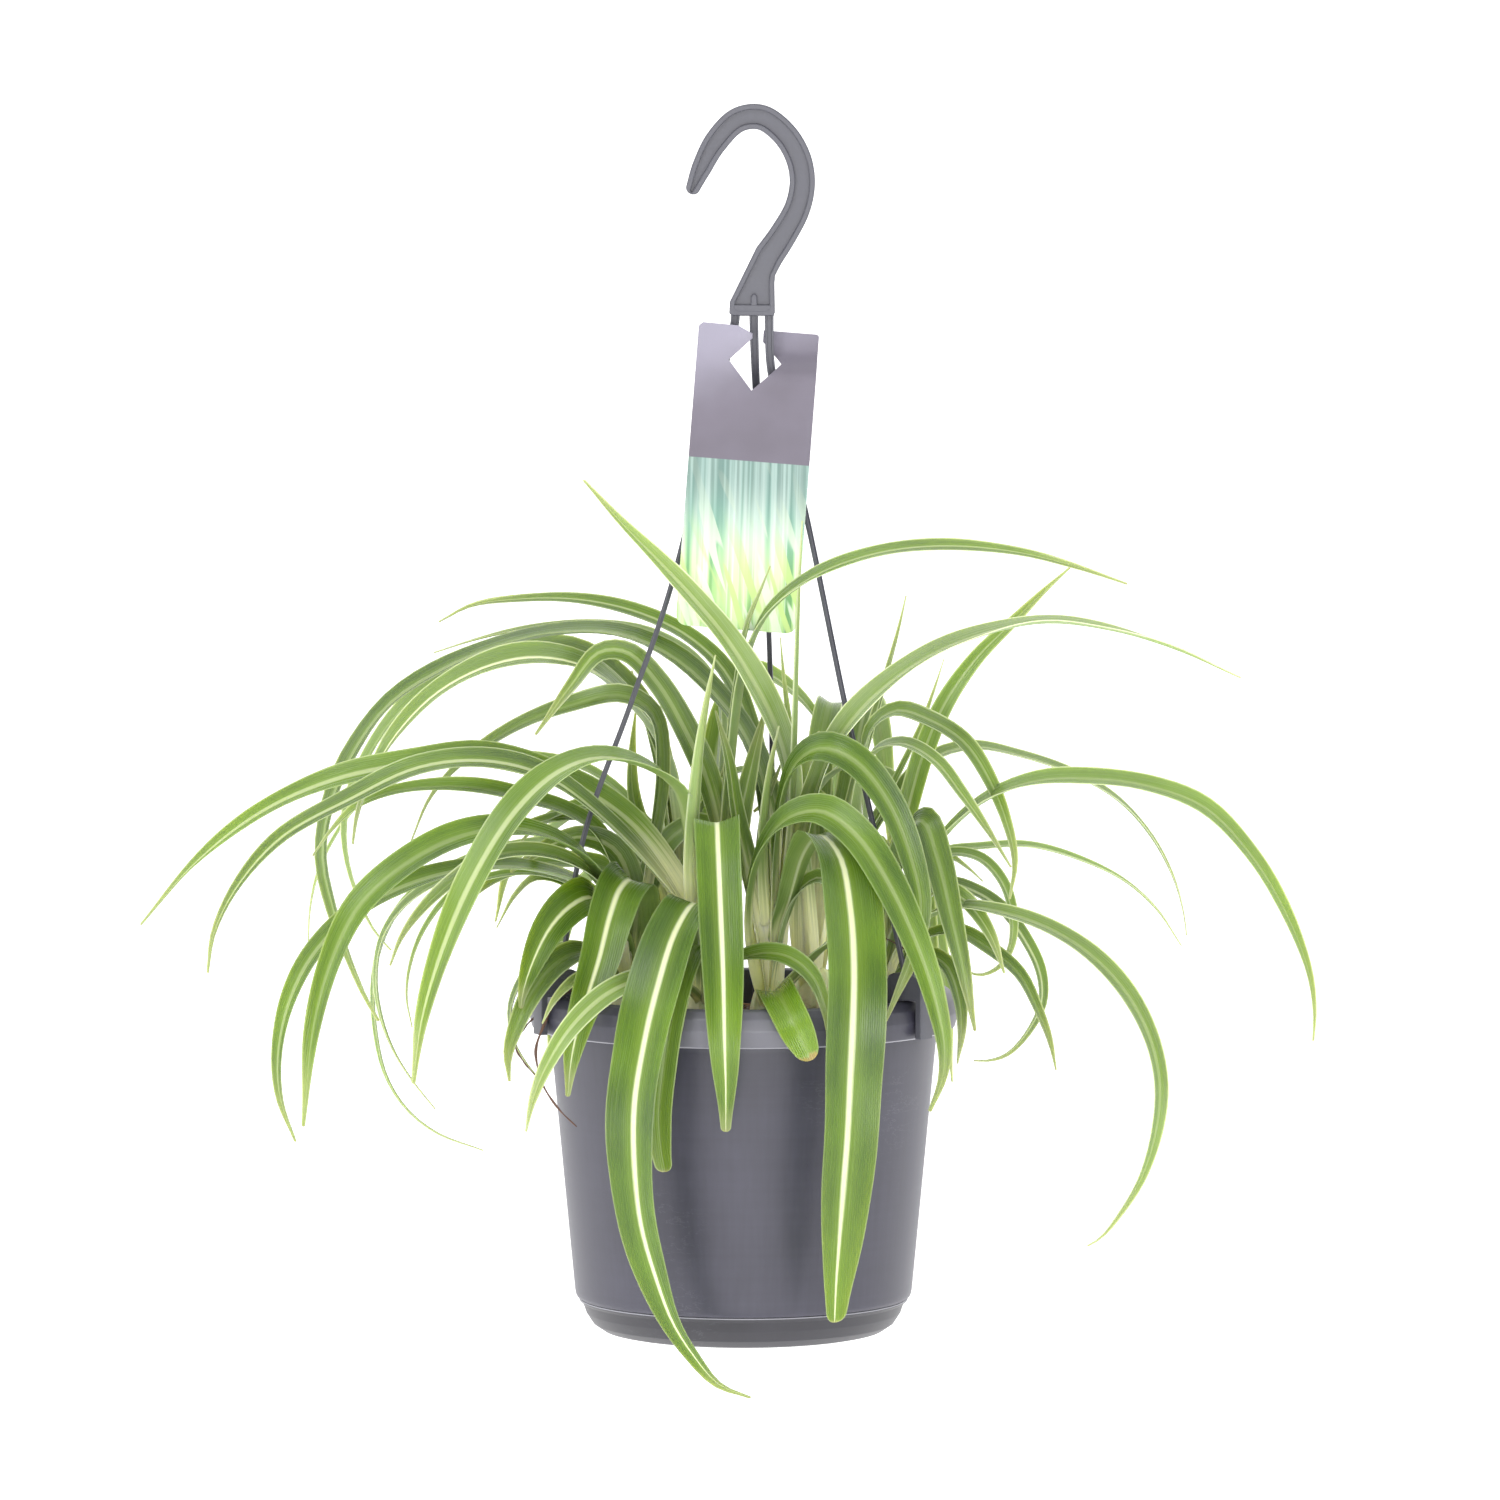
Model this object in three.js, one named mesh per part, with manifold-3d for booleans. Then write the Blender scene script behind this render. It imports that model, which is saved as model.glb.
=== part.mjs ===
// A green-and-cream spider plant in a 17 cm hanging pot with a clip-on drip saucer, a three-armed
// hanger with a hook, and a hang label slipped round the arms. Millimetres, Z up, X to the right and
// the plant's front towards -Y. Heights are counted from the underside of the saucer while the pieces
// are made; the whole is then moved so that the origin is the hook's saddle, the point that it hangs from.
import * as THREE from "three";
import { mergeVertices } from "three/addons/utils/BufferGeometryUtils.js";
import Module from "manifold-3d";

const wasm = await Module();
wasm.setup();

// ---- driving dimensions ----
const GAP = 0.3; // clearance between pieces that touch
const ROUND_SIDES = 36;

const RIM_RADIUS = 85; // a 17 cm pot
const RIM_TOP = 136.2;
const SKIRT_BOTTOM = 121;
const WALL = 1.3;
const WALL_TOP_RADIUS = 76.3;
const WALL_FOOT_RADIUS = 66.7;
const SHOULDER_RADIUS = 63.3;
const SHOULDER_HEIGHT = 13.5;
const POT_FLOOR_TOP = 4.9;
const DRAIN_HOLES = 6;
const DRAIN_HOLE_RADIUS = 4;
const DRAIN_RING_RADIUS = 34;

const SOIL_EDGE = 121.5;
const SOIL_CROWN = 126;
const CROWN_HOLE_DEPTH = 24;
const CROWN_RADIUS = 8.5;

const HOOK_THICKNESS = 5.5;
const HOOK_BORDER = 2.2;
const HOOK_WEB = 2.3;
const SADDLE_X = 8;
const SADDLE_HEIGHT = 473.25; // the hook's inner edge there, which hangs on a nail or a rail

const ARM_TOP = 404.6;
const ARM_TOP_WIDTH = 3.6;
const ARM_FOOT_WIDTH = 2;
const ARM_TOP_DEPTH = 2.1;
const ARM_FOOT_DEPTH = 1.6;
const ARM_TAPER = 0.35; // the share of its length, from the top, over which an arm narrows
const HEAD_BOTTOM = 401.6;
const CLIP_WIDTH = 8;
const CLIP_TOP = 147;
const CLIP_BOTTOM = 121.7;
const CLIP_INNER_RADIUS = 71.6;
const CLIP_OUTER_RADIUS = 88.4;

const LABEL_WIDTH = 47.5;
const LABEL_HEIGHT = 118;
const LABEL_THICKNESS = 0.8;
const LABEL_CORNER = 5;
const LABEL_LEAN = 0.183; // it lies on the two front arms
const LABEL_TILT = 4.5; // degrees, its top leans to the right

const BLADE_THICKNESS = 0.8;
const BLADE_CHANNEL = 0.15; // depth of a blade's V, as a share of its width
const BLADE_STEP = 28; // along the blade
const FLAT_BELOW = 13.5; // narrower blades are flat
const FRAME_STEPS = 60;
const SLIVER = 0.01;

// A route is written as it is seen from the front, [across, up, towards the back], by an eye this far
// from the pot's axis and this high; seen() gives the true place.
const EYE_DISTANCE = 4000;
const EYE_HEIGHT = 561;
const EYE_ACROSS = 2.6;

function seen([across, up, back]) {
  const scale = (EYE_DISTANCE + back) / EYE_DISTANCE;
  return new THREE.Vector3(
    EYE_ACROSS + (across - EYE_ACROSS) * scale,
    back,
    EYE_HEIGHT + (up - EYE_HEIGHT) * scale,
  );
}

// ---- the plant's six crowns: where each stands in the soil ----
const CROWNS = {
  front_left: [-16, -20],
  front_right: [11, -20],
  right: [54, -8],
  left: [-46, -8],
  back_left: [-22, 34],
  back_right: [28, 36],
};

// ---- blade shapes: the width at even steps from root to tip, as a share of the full width ----
const STRAP = [0.5, 0.72, 0.92, 1, 0.98, 0.88, 0.7, 0.44, 0.1];
const THREAD = [0.3, 0.6, 0.92, 1, 0.95, 0.86, 0.68, 0.36, 0.06];
const STALKED = [0.25, 0.28, 0.52, 0.94, 1, 1, 0.94, 0.79, 0.34];
const ROUNDED = [0.5, 0.75, 0.92, 1, 1, 1, 1, 0.95, 0.6];
const POINTED = [0.5, 0.75, 0.92, 1, 1, 0.98, 0.88, 0.62, 0.22];

// ---- the blades of each crown: width, how far the upper side is turned to the front at the root,
// the middle and the tip (degrees), shape, and the route from root to tip ----
const BLADES = {
  front_left: [
    [17, [5, 20, 55], STRAP, [[-19, 150, -26], [-21, 185, -32], [-27, 215, -40], [-42, 225, -50],
      [-58, 227, -58], [-74, 221, -67], [-90, 206, -77], [-106, 181, -87], [-119, 151, -95],
      [-127, 124, -100], [-130.5, 98, -102]]],
    [16, [30, 38, 30], STRAP, [[-19, 160, -22], [-28, 180, -20], [-45, 202, -12], [-68, 217, -10],
      [-100, 227, -13], [-130, 225, -18], [-160, 219, -19], [-190, 206, -17], [-217, 185, -14],
      [-238, 161, -12]]],
    [14, [0, 30, 40], STRAP, [[-20, 158, -24], [-32, 178, -31], [-55, 203, -37], [-78, 220, -39],
      [-102, 226, -40], [-128, 223.5, -40], [-155, 211, -41], [-182, 196, -42], [-200, 176, -43],
      [-209, 158, -44], [-211.5, 142, -45]]],
    [12, [0, 50, 60], STRAP, [[-12, 165, -16], [-9, 190, -10], [-14, 217, -8], [-23, 238, -8],
      [-34, 257, -10], [-46, 269, -14], [-57, 269, -18], [-68, 256, -24], [-82, 236.5, -32]]],
    [7, [40, 40, 40], STRAP, [[-19, 165, -32], [-20.5, 185, -40], [-19.5, 205, -44], [-17, 232, -44],
      [-14, 252, -42], [-11, 268, -40]]],
    [17.5, [0, 0, 0], POINTED, [[-14, 160, -30], [-11, 190, -42], [-10.5, 202, -56], [-10, 190, -68],
      [-9, 165, -80], [-8, 140, -90], [-7.5, 115, -94], [-7, 95, -93], [-7, 79, -91]]],
    [24, [0, 8, 10], THREAD, [[-17, 150, -36], [-19, 170, -56], [-27, 158, -70], [-34, 136, -82],
      [-39, 115, -88], [-43, 90, -90], [-43, 65, -90], [-40.5, 42, -89], [-35, 22, -88], [-28, 3, -87],
      [-20, -10, -86], [-10, -21.5, -85], [3, -27, -83]]],
    [11, [0, 10, 10], ROUNDED, [[-15, 142, -40], [-18, 153, -58], [-24, 142, -76], [-29, 122, -87],
      [-32, 102, -88], [-33.5, 85, -87], [-32.5, 72, -85], [-31, 63, -84]]],
    [9, [0, 45, 60], STRAP, [[-12, 136, -28], [-4, 146, -42], [8, 150, -54], [19, 148, -64],
      [28, 140, -72], [33, 126, -80], [34, 112, -83]]],
    [11, [0, 20, 25], STRAP, [[-11, 160, -18], [-7, 190, -14], [-5, 215, -14], [-2, 245, -16],
      [2, 268, -25], [10, 285, -39], [26, 298, -50], [52, 308, -68], [80, 311, -82], [108, 308.5, -94],
      [130, 303, -102], [151, 296, -108]]],
    [8, [0, 30, 40], STRAP, [[-12, 165, -14], [-9, 190, -10], [-6, 218, -10], [-4, 240, -13],
      [-2, 258, -20], [0, 272, -27], [3, 284, -32], [7, 294, -36], [10.5, 303, -39]]],
    [10, [0, 30, 45], STRAP, [[-20, 133, -30], [-32, 140, -52], [-44, 138.5, -69], [-57, 131.5, -84],
      [-69, 119.5, -93], [-78, 105, -98], [-83.5, 91, -100], [-86, 79, -101]]],
    [10, [60, 60, 60], STRAP, [[-11, 155, -21], [-5, 182, -15], [-1, 205, -12.5], [4, 228, -8],
      [9, 248, -4]]],
  ],
  front_right: [
    [16, [60, 68, 65], STRAP, [[13, 165, -18], [17, 200, -18], [17, 222, -20], [12, 241, -28],
      [3, 259, -38], [-8, 276, -43], [-20, 290.5, -47], [-33, 304.5, -50], [-47, 319, -54],
      [-63, 337, -60]]],
    [6, [0, 30, 30], STRAP, [[16, 165, -20], [19, 200, -24], [20.5, 235, -28], [21, 262, -31],
      [21.7, 285, -34], [22.3, 303, -36], [23, 321, -37]]],
    [4, [0, 30, 30], STRAP, [[15, 170, -12], [19, 210, -10], [18, 240, -9], [16, 258, -8],
      [14.5, 275, -8]]],
    [10, [0, 18, 20], STRAP, [[11, 170, -10], [8, 210, 4], [2, 240, 12], [-7, 261, 16], [-22, 275.5, 18],
      [-42, 285, 20], [-66, 290, 22], [-90, 290, 24], [-107, 287.5, 25], [-120, 281, 26]]],
    [16, [20, 8, 55], STRAP, [[12, 165, -8], [11, 205, 0], [1, 235, 3], [-12, 253, 5], [-28, 267, 8],
      [-48, 276, 14], [-70, 277, 20], [-95, 272, 22], [-119, 262, 21], [-140, 248, 22], [-154, 229, 22],
      [-163, 208, 23], [-166, 188, 24], [-162, 168, 24], [-156, 149, 24], [-150, 134, 24],
      [-144, 123, 24]]],
    [17, [60, 28, -12], STRAP, [[14, 160, -16], [21, 185, -18], [28, 212, -26], [36, 232, -37],
      [50, 250, -47], [70, 265.5, -50], [92, 275.5, -50], [118, 281, -54], [145, 278, -58],
      [170, 270.5, -61], [196, 259, -64]]],
    [15, [45, 55, 70], STRAP, [[5, 150, -30], [3, 170, -38], [7, 190, -46], [17, 203, -54], [31, 206, -62],
      [45, 196, -70], [57, 178, -76], [67, 157, -81], [75, 134, -84], [79.5, 112, -85], [78.5, 100, -85],
      [73.5, 87, -84]]],
    [14, [45, 50, 50], STRAP, [[13, 165, -26], [14, 200, -32], [20, 224, -41], [31, 231, -50],
      [44, 226, -55], [57, 210, -58], [66, 188, -60], [70, 168, -63], [67, 150, -65], [61, 135, -67],
      [56, 123, -69]]],
    [25, [0, 8, 0], STALKED, [[13, 155, -28], [18, 172, -34], [23.5, 190, -44], [30, 197, -56],
      [38, 188, -68], [42, 168, -78], [43.5, 145, -86], [43, 120, -90], [42, 98, -90], [41, 78, -90],
      [39.5, 58, -89], [38, 38, -88], [36.7, 20, -87], [36, 3, -86]]],
    [14, [0, 25, 30], ROUNDED, [[12, 133, -40], [13, 135, -62], [15, 132, -80], [20, 122, -91],
      [27, 107.5, -93]]],
    [9, [0, 30, 40], STRAP, [[15, 133, -34], [22, 141, -42], [32, 152, -52], [42, 157, -62],
      [48, 150, -68], [51, 138, -71]]],
    [9, [60, 60, 60], STRAP, [[6, 150, -14], [5, 180, -6], [8, 208, 0], [16, 228, 4]]],
    [10, [40, 50, 50], STRAP, [[14, 150, -28], [20, 172, -30], [30, 180, -34], [42, 172, -40],
      [52, 156, -46]]],
    [11, [60, 60, 60], STRAP, [[7, 155, -30], [2, 180, -30], [-3, 205, -28], [-6, 226, -24],
      [-11, 246, -18]]],
    [9, [60, 60, 60], STRAP, [[11, 155, -26], [9, 182, -30], [9, 205, -32], [11, 224, -33],
      [14, 240, -34]]],
  ],
  right: [
    [12, [0, 28, 32], STRAP, [[58, 150, -12], [66, 175, -16], [78, 195, -22], [95, 210.5, -29],
      [115, 218, -36], [138, 219, -42], [160, 216, -48], [182, 207.5, -54], [200, 189, -59],
      [214, 166, -63], [223, 143, -66], [225.5, 126, -67], [225, 115, -68]]],
    [7, [0, 20, 20], STRAP, [[58, 150, -4], [66, 175, 2], [78, 189, 8], [95, 192, 14], [113, 192.5, 20],
      [132, 187.5, 26], [150, 179, 31], [163, 167.5, 35], [173, 153, 38]]],
    [8, [0, 30, 40], STRAP, [[58, 150, -10], [66, 178, -10], [80, 189, -11], [93, 187.5, -13],
      [102, 178, -15], [106, 165, -17], [105.5, 153, -18], [101, 145, -19], [94, 141.5, -20],
      [87, 143, -20]]],
    [8, [0, 30, 30], STRAP, [[58, 148, -6], [68, 178, 3], [80, 188, 8], [88, 184, 12],
      [94.5, 178.5, 15]]],
    [9, [0, 30, 30], STRAP, [[60, 145, -6], [68, 165, -5], [80, 177, -5], [92, 174, -6], [102, 167, -7],
      [111, 155, -9], [117, 142, -10], [117.5, 130, -11], [112, 118.5, -12], [104, 110, -13],
      [97, 107.5, -13], [91, 107.3, -14]]],
    [10, [0, 25, 28], STRAP, [[60, 145, -18], [68, 160, -26], [82, 168, -34], [100, 166.5, -42],
      [120, 160, -50], [138, 148.5, -57], [152, 133, -62], [161, 115, -65], [164.5, 97, -67],
      [163, 79, -68], [157.5, 61, -68], [149, 46.5, -67], [141.5, 37, -66], [136, 33.5, -65]]],
    [8, [0, 35, 35], STRAP, [[60, 142, -12], [70, 155, -18], [84, 158.5, -22], [98, 151, -26],
      [109, 141.5, -29], [116, 128, -32], [121, 115, -34], [123.5, 103.5, -35]]],
    [13, [0, 35, 45], STRAP, [[56, 150, -14], [60, 180, -22], [65, 200, -32], [71, 202, -40],
      [77, 186, -46], [82, 165, -50], [87, 143, -53], [91.5, 119, -55]]],
    [8, [0, 30, 30], STRAP, [[62, 142, -12], [72, 149, -18], [80, 145, -22], [85, 132, -26],
      [86, 120, -28], [84.5, 106, -29]]],
    [10, [0, 30, 40], STRAP, [[53, 150, -2], [50, 185, 2], [48, 215, 0], [50, 238, -4], [60, 246, -8],
      [74, 242, -14], [87, 233.5, -20], [97, 218.5, -26], [104, 201, -31], [107, 186, -35],
      [105, 171.5, -38]]],
    [11, [0, 35, 40], STRAP, [[52, 150, -10], [47, 185, -14], [46, 212, -18], [51, 229, -23],
      [62, 233, -29], [75, 226.5, -35], [86, 213, -41], [96, 199, -46], [105.5, 184, -50]]],
    [9, [0, 40, 40], STRAP, [[55, 150, 2], [58, 180, 10], [65, 208, 14], [72, 232, 18], [80, 250, 22],
      [92, 267, 27], [106, 281, 32], [118, 293, 36], [128.5, 302.5, 39]]],
    [11, [0, 45, 45], STRAP, [[46, 150, 4], [40, 180, 8], [36, 200, 8], [28, 212, 8], [16, 214, 8],
      [4, 206, 10]]],
    [10, [0, 40, 40], STRAP, [[50, 145, 0], [44, 165, 0], [40, 182, -2], [44, 194, -6], [54, 194, -12],
      [62, 180, -18]]],
    [10, [20, 40, 45], STRAP, [[58, 148, -14], [64, 168, -20], [74, 176, -26], [86, 172, -32],
      [97, 158, -38], [103, 142, -42]]],
  ],
  left: [
    [15, [5, 28, 40], STRAP, [[-50, 152, -16], [-54, 172, -26], [-64, 189, -38], [-88, 199, -54],
      [-112, 196, -66], [-135, 184, -75], [-152, 168, -81], [-163, 146, -86], [-170, 120, -89],
      [-174, 81, -91]]],
    [11, [0, 25, 40], STRAP, [[-48, 150, -14], [-53, 170, -28], [-64, 184, -39], [-82, 190, -45],
      [-100, 188, -48], [-114, 179, -50], [-126, 168, -52], [-135, 156, -53], [-139.5, 145, -54]]],
    [19, [0, 35, 30], STRAP, [[-44, 150, -14], [-42, 168, -22], [-44, 179, -32], [-49, 175, -44],
      [-53, 164, -53], [-57, 148, -60], [-61, 135, -65], [-65, 122, -68], [-68, 108, -70],
      [-69.5, 93, -70]]],
    [18, [0, 35, 40], STRAP, [[-50, 145, -12], [-54, 162, -22], [-60, 172, -34], [-69, 168, -44],
      [-77, 159, -52], [-83, 147, -58], [-87, 135, -61], [-88, 128, -62]]],
    [11, [0, 35, 40], STRAP, [[-52, 138, -14], [-58, 148, -26], [-66, 150, -38], [-75, 145, -48],
      [-83, 135, -56], [-89, 123, -62], [-93, 110, -66], [-92.5, 99, -68]]],
    [7, [0, 30, 30], STRAP, [[-54, 142, 4], [-66, 152, 10], [-78, 149, 14], [-87, 140, 17],
      [-92, 128, 19], [-91, 116, 20], [-87, 108, 20], [-81, 100, 19]]],
    [6, [0, 30, 30], STRAP, [[-52, 136, -18], [-58, 141, -36], [-67, 139, -51], [-75, 131, -60],
      [-79.5, 122, -63]]],
    [14, [0, 28, 30], STRAP, [[-49, 150, -6], [-55, 168, -6], [-66, 178, -7], [-82, 183, -10],
      [-100, 184, -15], [-118, 181.5, -21], [-135, 176, -27], [-150, 168, -32], [-163, 157.5, -37],
      [-173, 144.5, -41], [-180.5, 127, -44], [-184, 108, -46], [-183, 92, -47], [-177, 75, -48]]],
    [12, [0, 22, 25], STRAP, [[-48, 155, -4], [-50, 180, 2], [-58, 198, 4], [-70, 206, 4], [-85, 211, 3],
      [-102, 215, 2], [-120, 216, 2], [-138, 214, 3], [-152, 208.5, 4], [-162, 199, 5],
      [-170, 188.5, 6]]],
    [11, [0, 8, 10], STRAP, [[-43, 155, -2], [-37, 190, -3], [-33, 222, -3], [-36, 245, -4],
      [-48, 252, -7], [-68, 248, -5], [-88, 240.5, 4], [-103, 231.5, 10], [-115, 221.5, 17],
      [-124, 210.5, 20], [-131, 194.5, 22]]],
    [9, [0, 25, 30], STRAP, [[-50, 150, 4], [-58, 172, 12], [-76, 182, 20], [-98, 184, 28],
      [-118, 179, 34], [-133, 169.5, 38], [-142, 157, 41], [-145, 141, 43], [-143, 125, 44],
      [-138, 111, 44], [-131, 99.5, 44], [-122, 88, 43]]],
    [6, [0, 25, 30], STRAP, [[-50, 150, -2], [-60, 172, 0], [-78, 181, 4], [-98, 180.5, 6],
      [-114, 174, 7], [-125, 161, 8], [-131, 147, 8], [-133, 133, 8], [-131, 120.5, 8]]],
    [6, [0, 25, 30], STRAP, [[-50, 145, 6], [-58, 165, 12], [-70, 178, 17], [-82, 180, 20],
      [-90, 173, 22], [-95, 164.5, 23], [-97.5, 160, 23]]],
    [11, [0, 40, 45], STRAP, [[-42, 150, 1], [-38, 176, 5], [-30, 194, 7], [-18, 202, 9], [-6, 198, 11],
      [4, 188, 13]]],
    [12, [0, 40, 45], STRAP, [[-44, 148, -4], [-44, 172, 0], [-50, 190, 2], [-62, 196, 2], [-78, 192, 0],
      [-92, 182, -2]]],
  ],
  back_left: [
    [10, [0, 15, 15], STRAP, [[-18, 180, 32], [-10, 225, 30], [-10, 252, 30], [-20, 267, 30],
      [-38, 277, 31], [-60, 280.5, 32], [-82, 279, 34], [-104, 274.5, 36], [-122, 269, 38]]],
    [13, [0, 35, 45], STRAP, [[-26, 160, 30], [-28, 195, 27], [-33, 230, 28], [-46, 256, 33],
      [-66, 270, 38], [-90, 270, 42], [-115, 261, 46], [-136, 245, 49], [-150, 224, 52],
      [-156.5, 204, 54], [-156, 187, 55], [-151, 170, 56], [-145, 158, 56], [-139, 151, 56]]],
    [20, [0, 22, 25], STRAP, [[-24, 160, 30], [-27, 200, 22], [-33, 232, 17], [-46, 250, 13],
      [-62, 263, 4], [-82, 267, -2], [-102, 263, -4], [-122, 252, -2], [-138, 235, -3], [-147, 219, -3],
      [-152, 205, -3], [-154, 193, -3]]],
    [12, [0, 30, 40], STRAP, [[-16, 170, 42], [-12, 220, 52], [-5, 250, 60], [6, 261, 66], [18, 255, 72],
      [28, 244, 79], [36, 228, 86], [42, 205, 92]]],
    [7, [30, 30, 30], STRAP, [[-25, 160, 30], [-28, 190, 33], [-32, 215, 35], [-36, 233, 37],
      [-40, 248, 38], [-44, 262, 39]]],
    [8, [30, 30, 30], STRAP, [[-28, 160, 34], [-37, 190, 40], [-43.5, 212, 44], [-44, 230, 46],
      [-42.5, 246, 47]]],
    [13, [0, 30, 35], STRAP, [[-26, 160, 28], [-34, 185, 22], [-48, 200, 18], [-65, 204, 15],
      [-82, 201.5, 13], [-98, 194, 12]]],
    [8, [0, 25, 30], STRAP, [[-28, 160, 38], [-44, 185, 46], [-66, 194, 52], [-92, 192, 58],
      [-115, 184, 63], [-132, 172, 67], [-142, 156, 69], [-146, 138, 70], [-145, 118, 70],
      [-141, 101, 70], [-133, 88, 69], [-121, 78.5, 68], [-103, 71.5, 66]]],
    [7, [0, 25, 30], STRAP, [[-27, 160, 40], [-38, 200, 50], [-60, 222, 58], [-88, 228, 66],
      [-114, 227, 72], [-135, 221, 77], [-150, 211, 80], [-160, 198, 82], [-167, 184, 83],
      [-171, 168, 84], [-172, 150, 84]]],
    [12, [0, 40, 45], STRAP, [[-26, 160, 24], [-30, 188, 20], [-42, 203, 18], [-58, 209, 16],
      [-76, 204, 16], [-90, 192, 18]]],
    [12, [0, 35, 40], STRAP, [[-30, 150, 32], [-40, 172, 30], [-56, 184, 31], [-76, 186, 31],
      [-96, 180, 33], [-112, 168, 32]]],
    [11, [0, 40, 45], STRAP, [[-20, 155, 22], [-22, 190, 18], [-14, 212, 14], [-2, 222, 12],
      [12, 218, 12], [24, 205, 14]]],
    [10, [30, 40, 40], STRAP, [[-14, 150, 24], [-12, 180, 20], [-10, 210, 18], [-6, 232, 18]]],
  ],
  back_right: [
    [8, [0, 30, 30], STRAP, [[34, 170, 32], [44, 215, 32], [51, 240, 33], [57, 262, 35], [61, 277, 37],
      [64, 291.5, 39]]],
    [4, [0, 30, 30], STRAP, [[40, 180, 42], [58, 215, 50], [70, 240, 54], [75, 254, 56],
      [79, 266.5, 58]]],
    [9, [0, 20, 25], STRAP, [[36, 160, 42], [52, 200, 50], [73, 226, 58], [90, 231.5, 64], [110, 228, 71],
      [130, 221, 78], [148, 210.5, 85], [161, 196, 90], [170, 179, 94], [174, 165, 96], [175, 157, 97]]],
    [11, [0, 10, 10], STRAP, [[28, 170, 40], [29, 205, 44], [31, 235, 52], [34, 249, 66], [36, 244, 84],
      [37, 225, 104], [38, 195, 118], [38, 165, 126]]],
    [11, [0, 10, 10], STRAP, [[34, 170, 42], [42, 215, 46], [47, 243, 55], [50, 250, 70], [54, 238, 90],
      [57, 210, 108], [59, 180, 118]]],
    [12, [0, 45, 50], STRAP, [[24, 155, 24], [24, 190, 20], [30, 215, 16], [42, 224, 12], [56, 214, 8],
      [64, 196, 4]]],
    [12, [20, 45, 45], STRAP, [[26, 150, 25], [24, 175, 21], [22, 200, 19], [24, 222, 19],
      [30, 238, 21]]],
  ],
};

// The blades that only show from behind follow one rule: each crown's share spreads round the back, from
// one bearing to another (degrees, 90 is straight back), in arches of varied reach and height.
const BACK_BLADES = {
  back_left: { count: 6, from: 92, to: 140, seed: 11 },
  back_right: { count: 6, from: 88, to: 44, seed: 29 },
};
const BACK_REACH = [58, 120];
const BACK_RISE = [48, 96];
const BACK_WIDTH = [9, 15];

// ---- solids ----
function toSolid(geometry) {
  const plain = geometry.clone();
  plain.deleteAttribute("normal");
  plain.deleteAttribute("uv");
  const merged = mergeVertices(plain, 1e-4);
  const solid = new wasm.Manifold(
    new wasm.Mesh({
      numProp: 3,
      vertProperties: merged.attributes.position.array,
      triVerts: new Uint32Array(merged.index.array),
    }),
  );
  if (solid.volume() <= 0) throw new Error("a solid is inside out");
  return solid;
}

function toMesh(name, solid, colour, roughness) {
  const { numProp, vertProperties, triVerts } = solid.getMesh();
  const positions = new Float32Array((vertProperties.length / numProp) * 3);
  for (let i = 0; i < positions.length / 3; i += 1) {
    for (let axis = 0; axis < 3; axis += 1) positions[3 * i + axis] = vertProperties[numProp * i + axis];
  }
  const geometry = new THREE.BufferGeometry();
  geometry.setAttribute("position", new THREE.BufferAttribute(positions, 3));
  geometry.setIndex(Array.from(triVerts));
  geometry.computeVertexNormals();
  const material = new THREE.MeshStandardMaterial({ color: colour, roughness, metalness: 0 });
  const mesh = new THREE.Mesh(geometry, material);
  mesh.name = name;
  return mesh;
}

// A profile of [radius, height] points, turned round the Z axis.
function turned(profile, sides = ROUND_SIDES) {
  const points = profile.map(([radius, height]) => new THREE.Vector2(radius, height));
  const geometry = new THREE.LatheGeometry(points, sides);
  geometry.rotateX(Math.PI / 2);
  return toSolid(geometry);
}

// The solid with any pocket that its crossing blades close off filled in, and the slivers where they cross
// closed up.
function withoutHollows(solid) {
  const filled = (whole) => wasm.Manifold.union(whole.decompose().filter((shell) => shell.volume() > 0));
  return filled(filled(solid).asOriginal().simplify(SLIVER));
}

// A box from one corner to the other.
function block(low, high) {
  const size = high.map((value, axis) => value - low[axis]);
  const geometry = new THREE.BoxGeometry(...size);
  geometry.translate(...low.map((value, axis) => value + size[axis] / 2));
  return toSolid(geometry);
}

// A closed strip between two rows of points, upper[station][place] and lower[station][place].
function strip(upper, lower) {
  const stations = upper.length;
  const places = upper[0].length;
  const corners = [];
  const triangle = (a, b, c) => corners.push(...a.toArray(), ...b.toArray(), ...c.toArray());
  const quad = (a, b, c, d) => {
    triangle(a, b, c);
    triangle(a, c, d);
  };
  for (let i = 0; i + 1 < stations; i += 1) {
    for (let j = 0; j + 1 < places; j += 1) {
      quad(upper[i][j], upper[i][j + 1], upper[i + 1][j + 1], upper[i + 1][j]);
      triangle(lower[i][j], lower[i + 1][j + 1], lower[i][j + 1]);
      triangle(lower[i][j], lower[i + 1][j], lower[i + 1][j + 1]);
    }
    const last = places - 1;
    quad(upper[i][0], upper[i + 1][0], lower[i + 1][0], lower[i][0]);
    quad(upper[i][last], lower[i][last], lower[i + 1][last], upper[i + 1][last]);
  }
  for (let j = 0; j + 1 < places; j += 1) {
    quad(upper[0][j], lower[0][j], lower[0][j + 1], upper[0][j + 1]);
    const end = stations - 1;
    quad(upper[end][j], upper[end][j + 1], lower[end][j + 1], lower[end][j]);
  }
  const geometry = new THREE.BufferGeometry();
  geometry.setAttribute("position", new THREE.Float32BufferAttribute(corners, 3));
  return toSolid(geometry);
}

// ---- pot, saucer and soil ----
// The wall's outer radius at a height.
function wallRadius(height) {
  const share = (height - 17) / (118 - 17);
  return WALL_FOOT_RADIUS + share * (WALL_TOP_RADIUS - WALL_FOOT_RADIUS);
}

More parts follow.
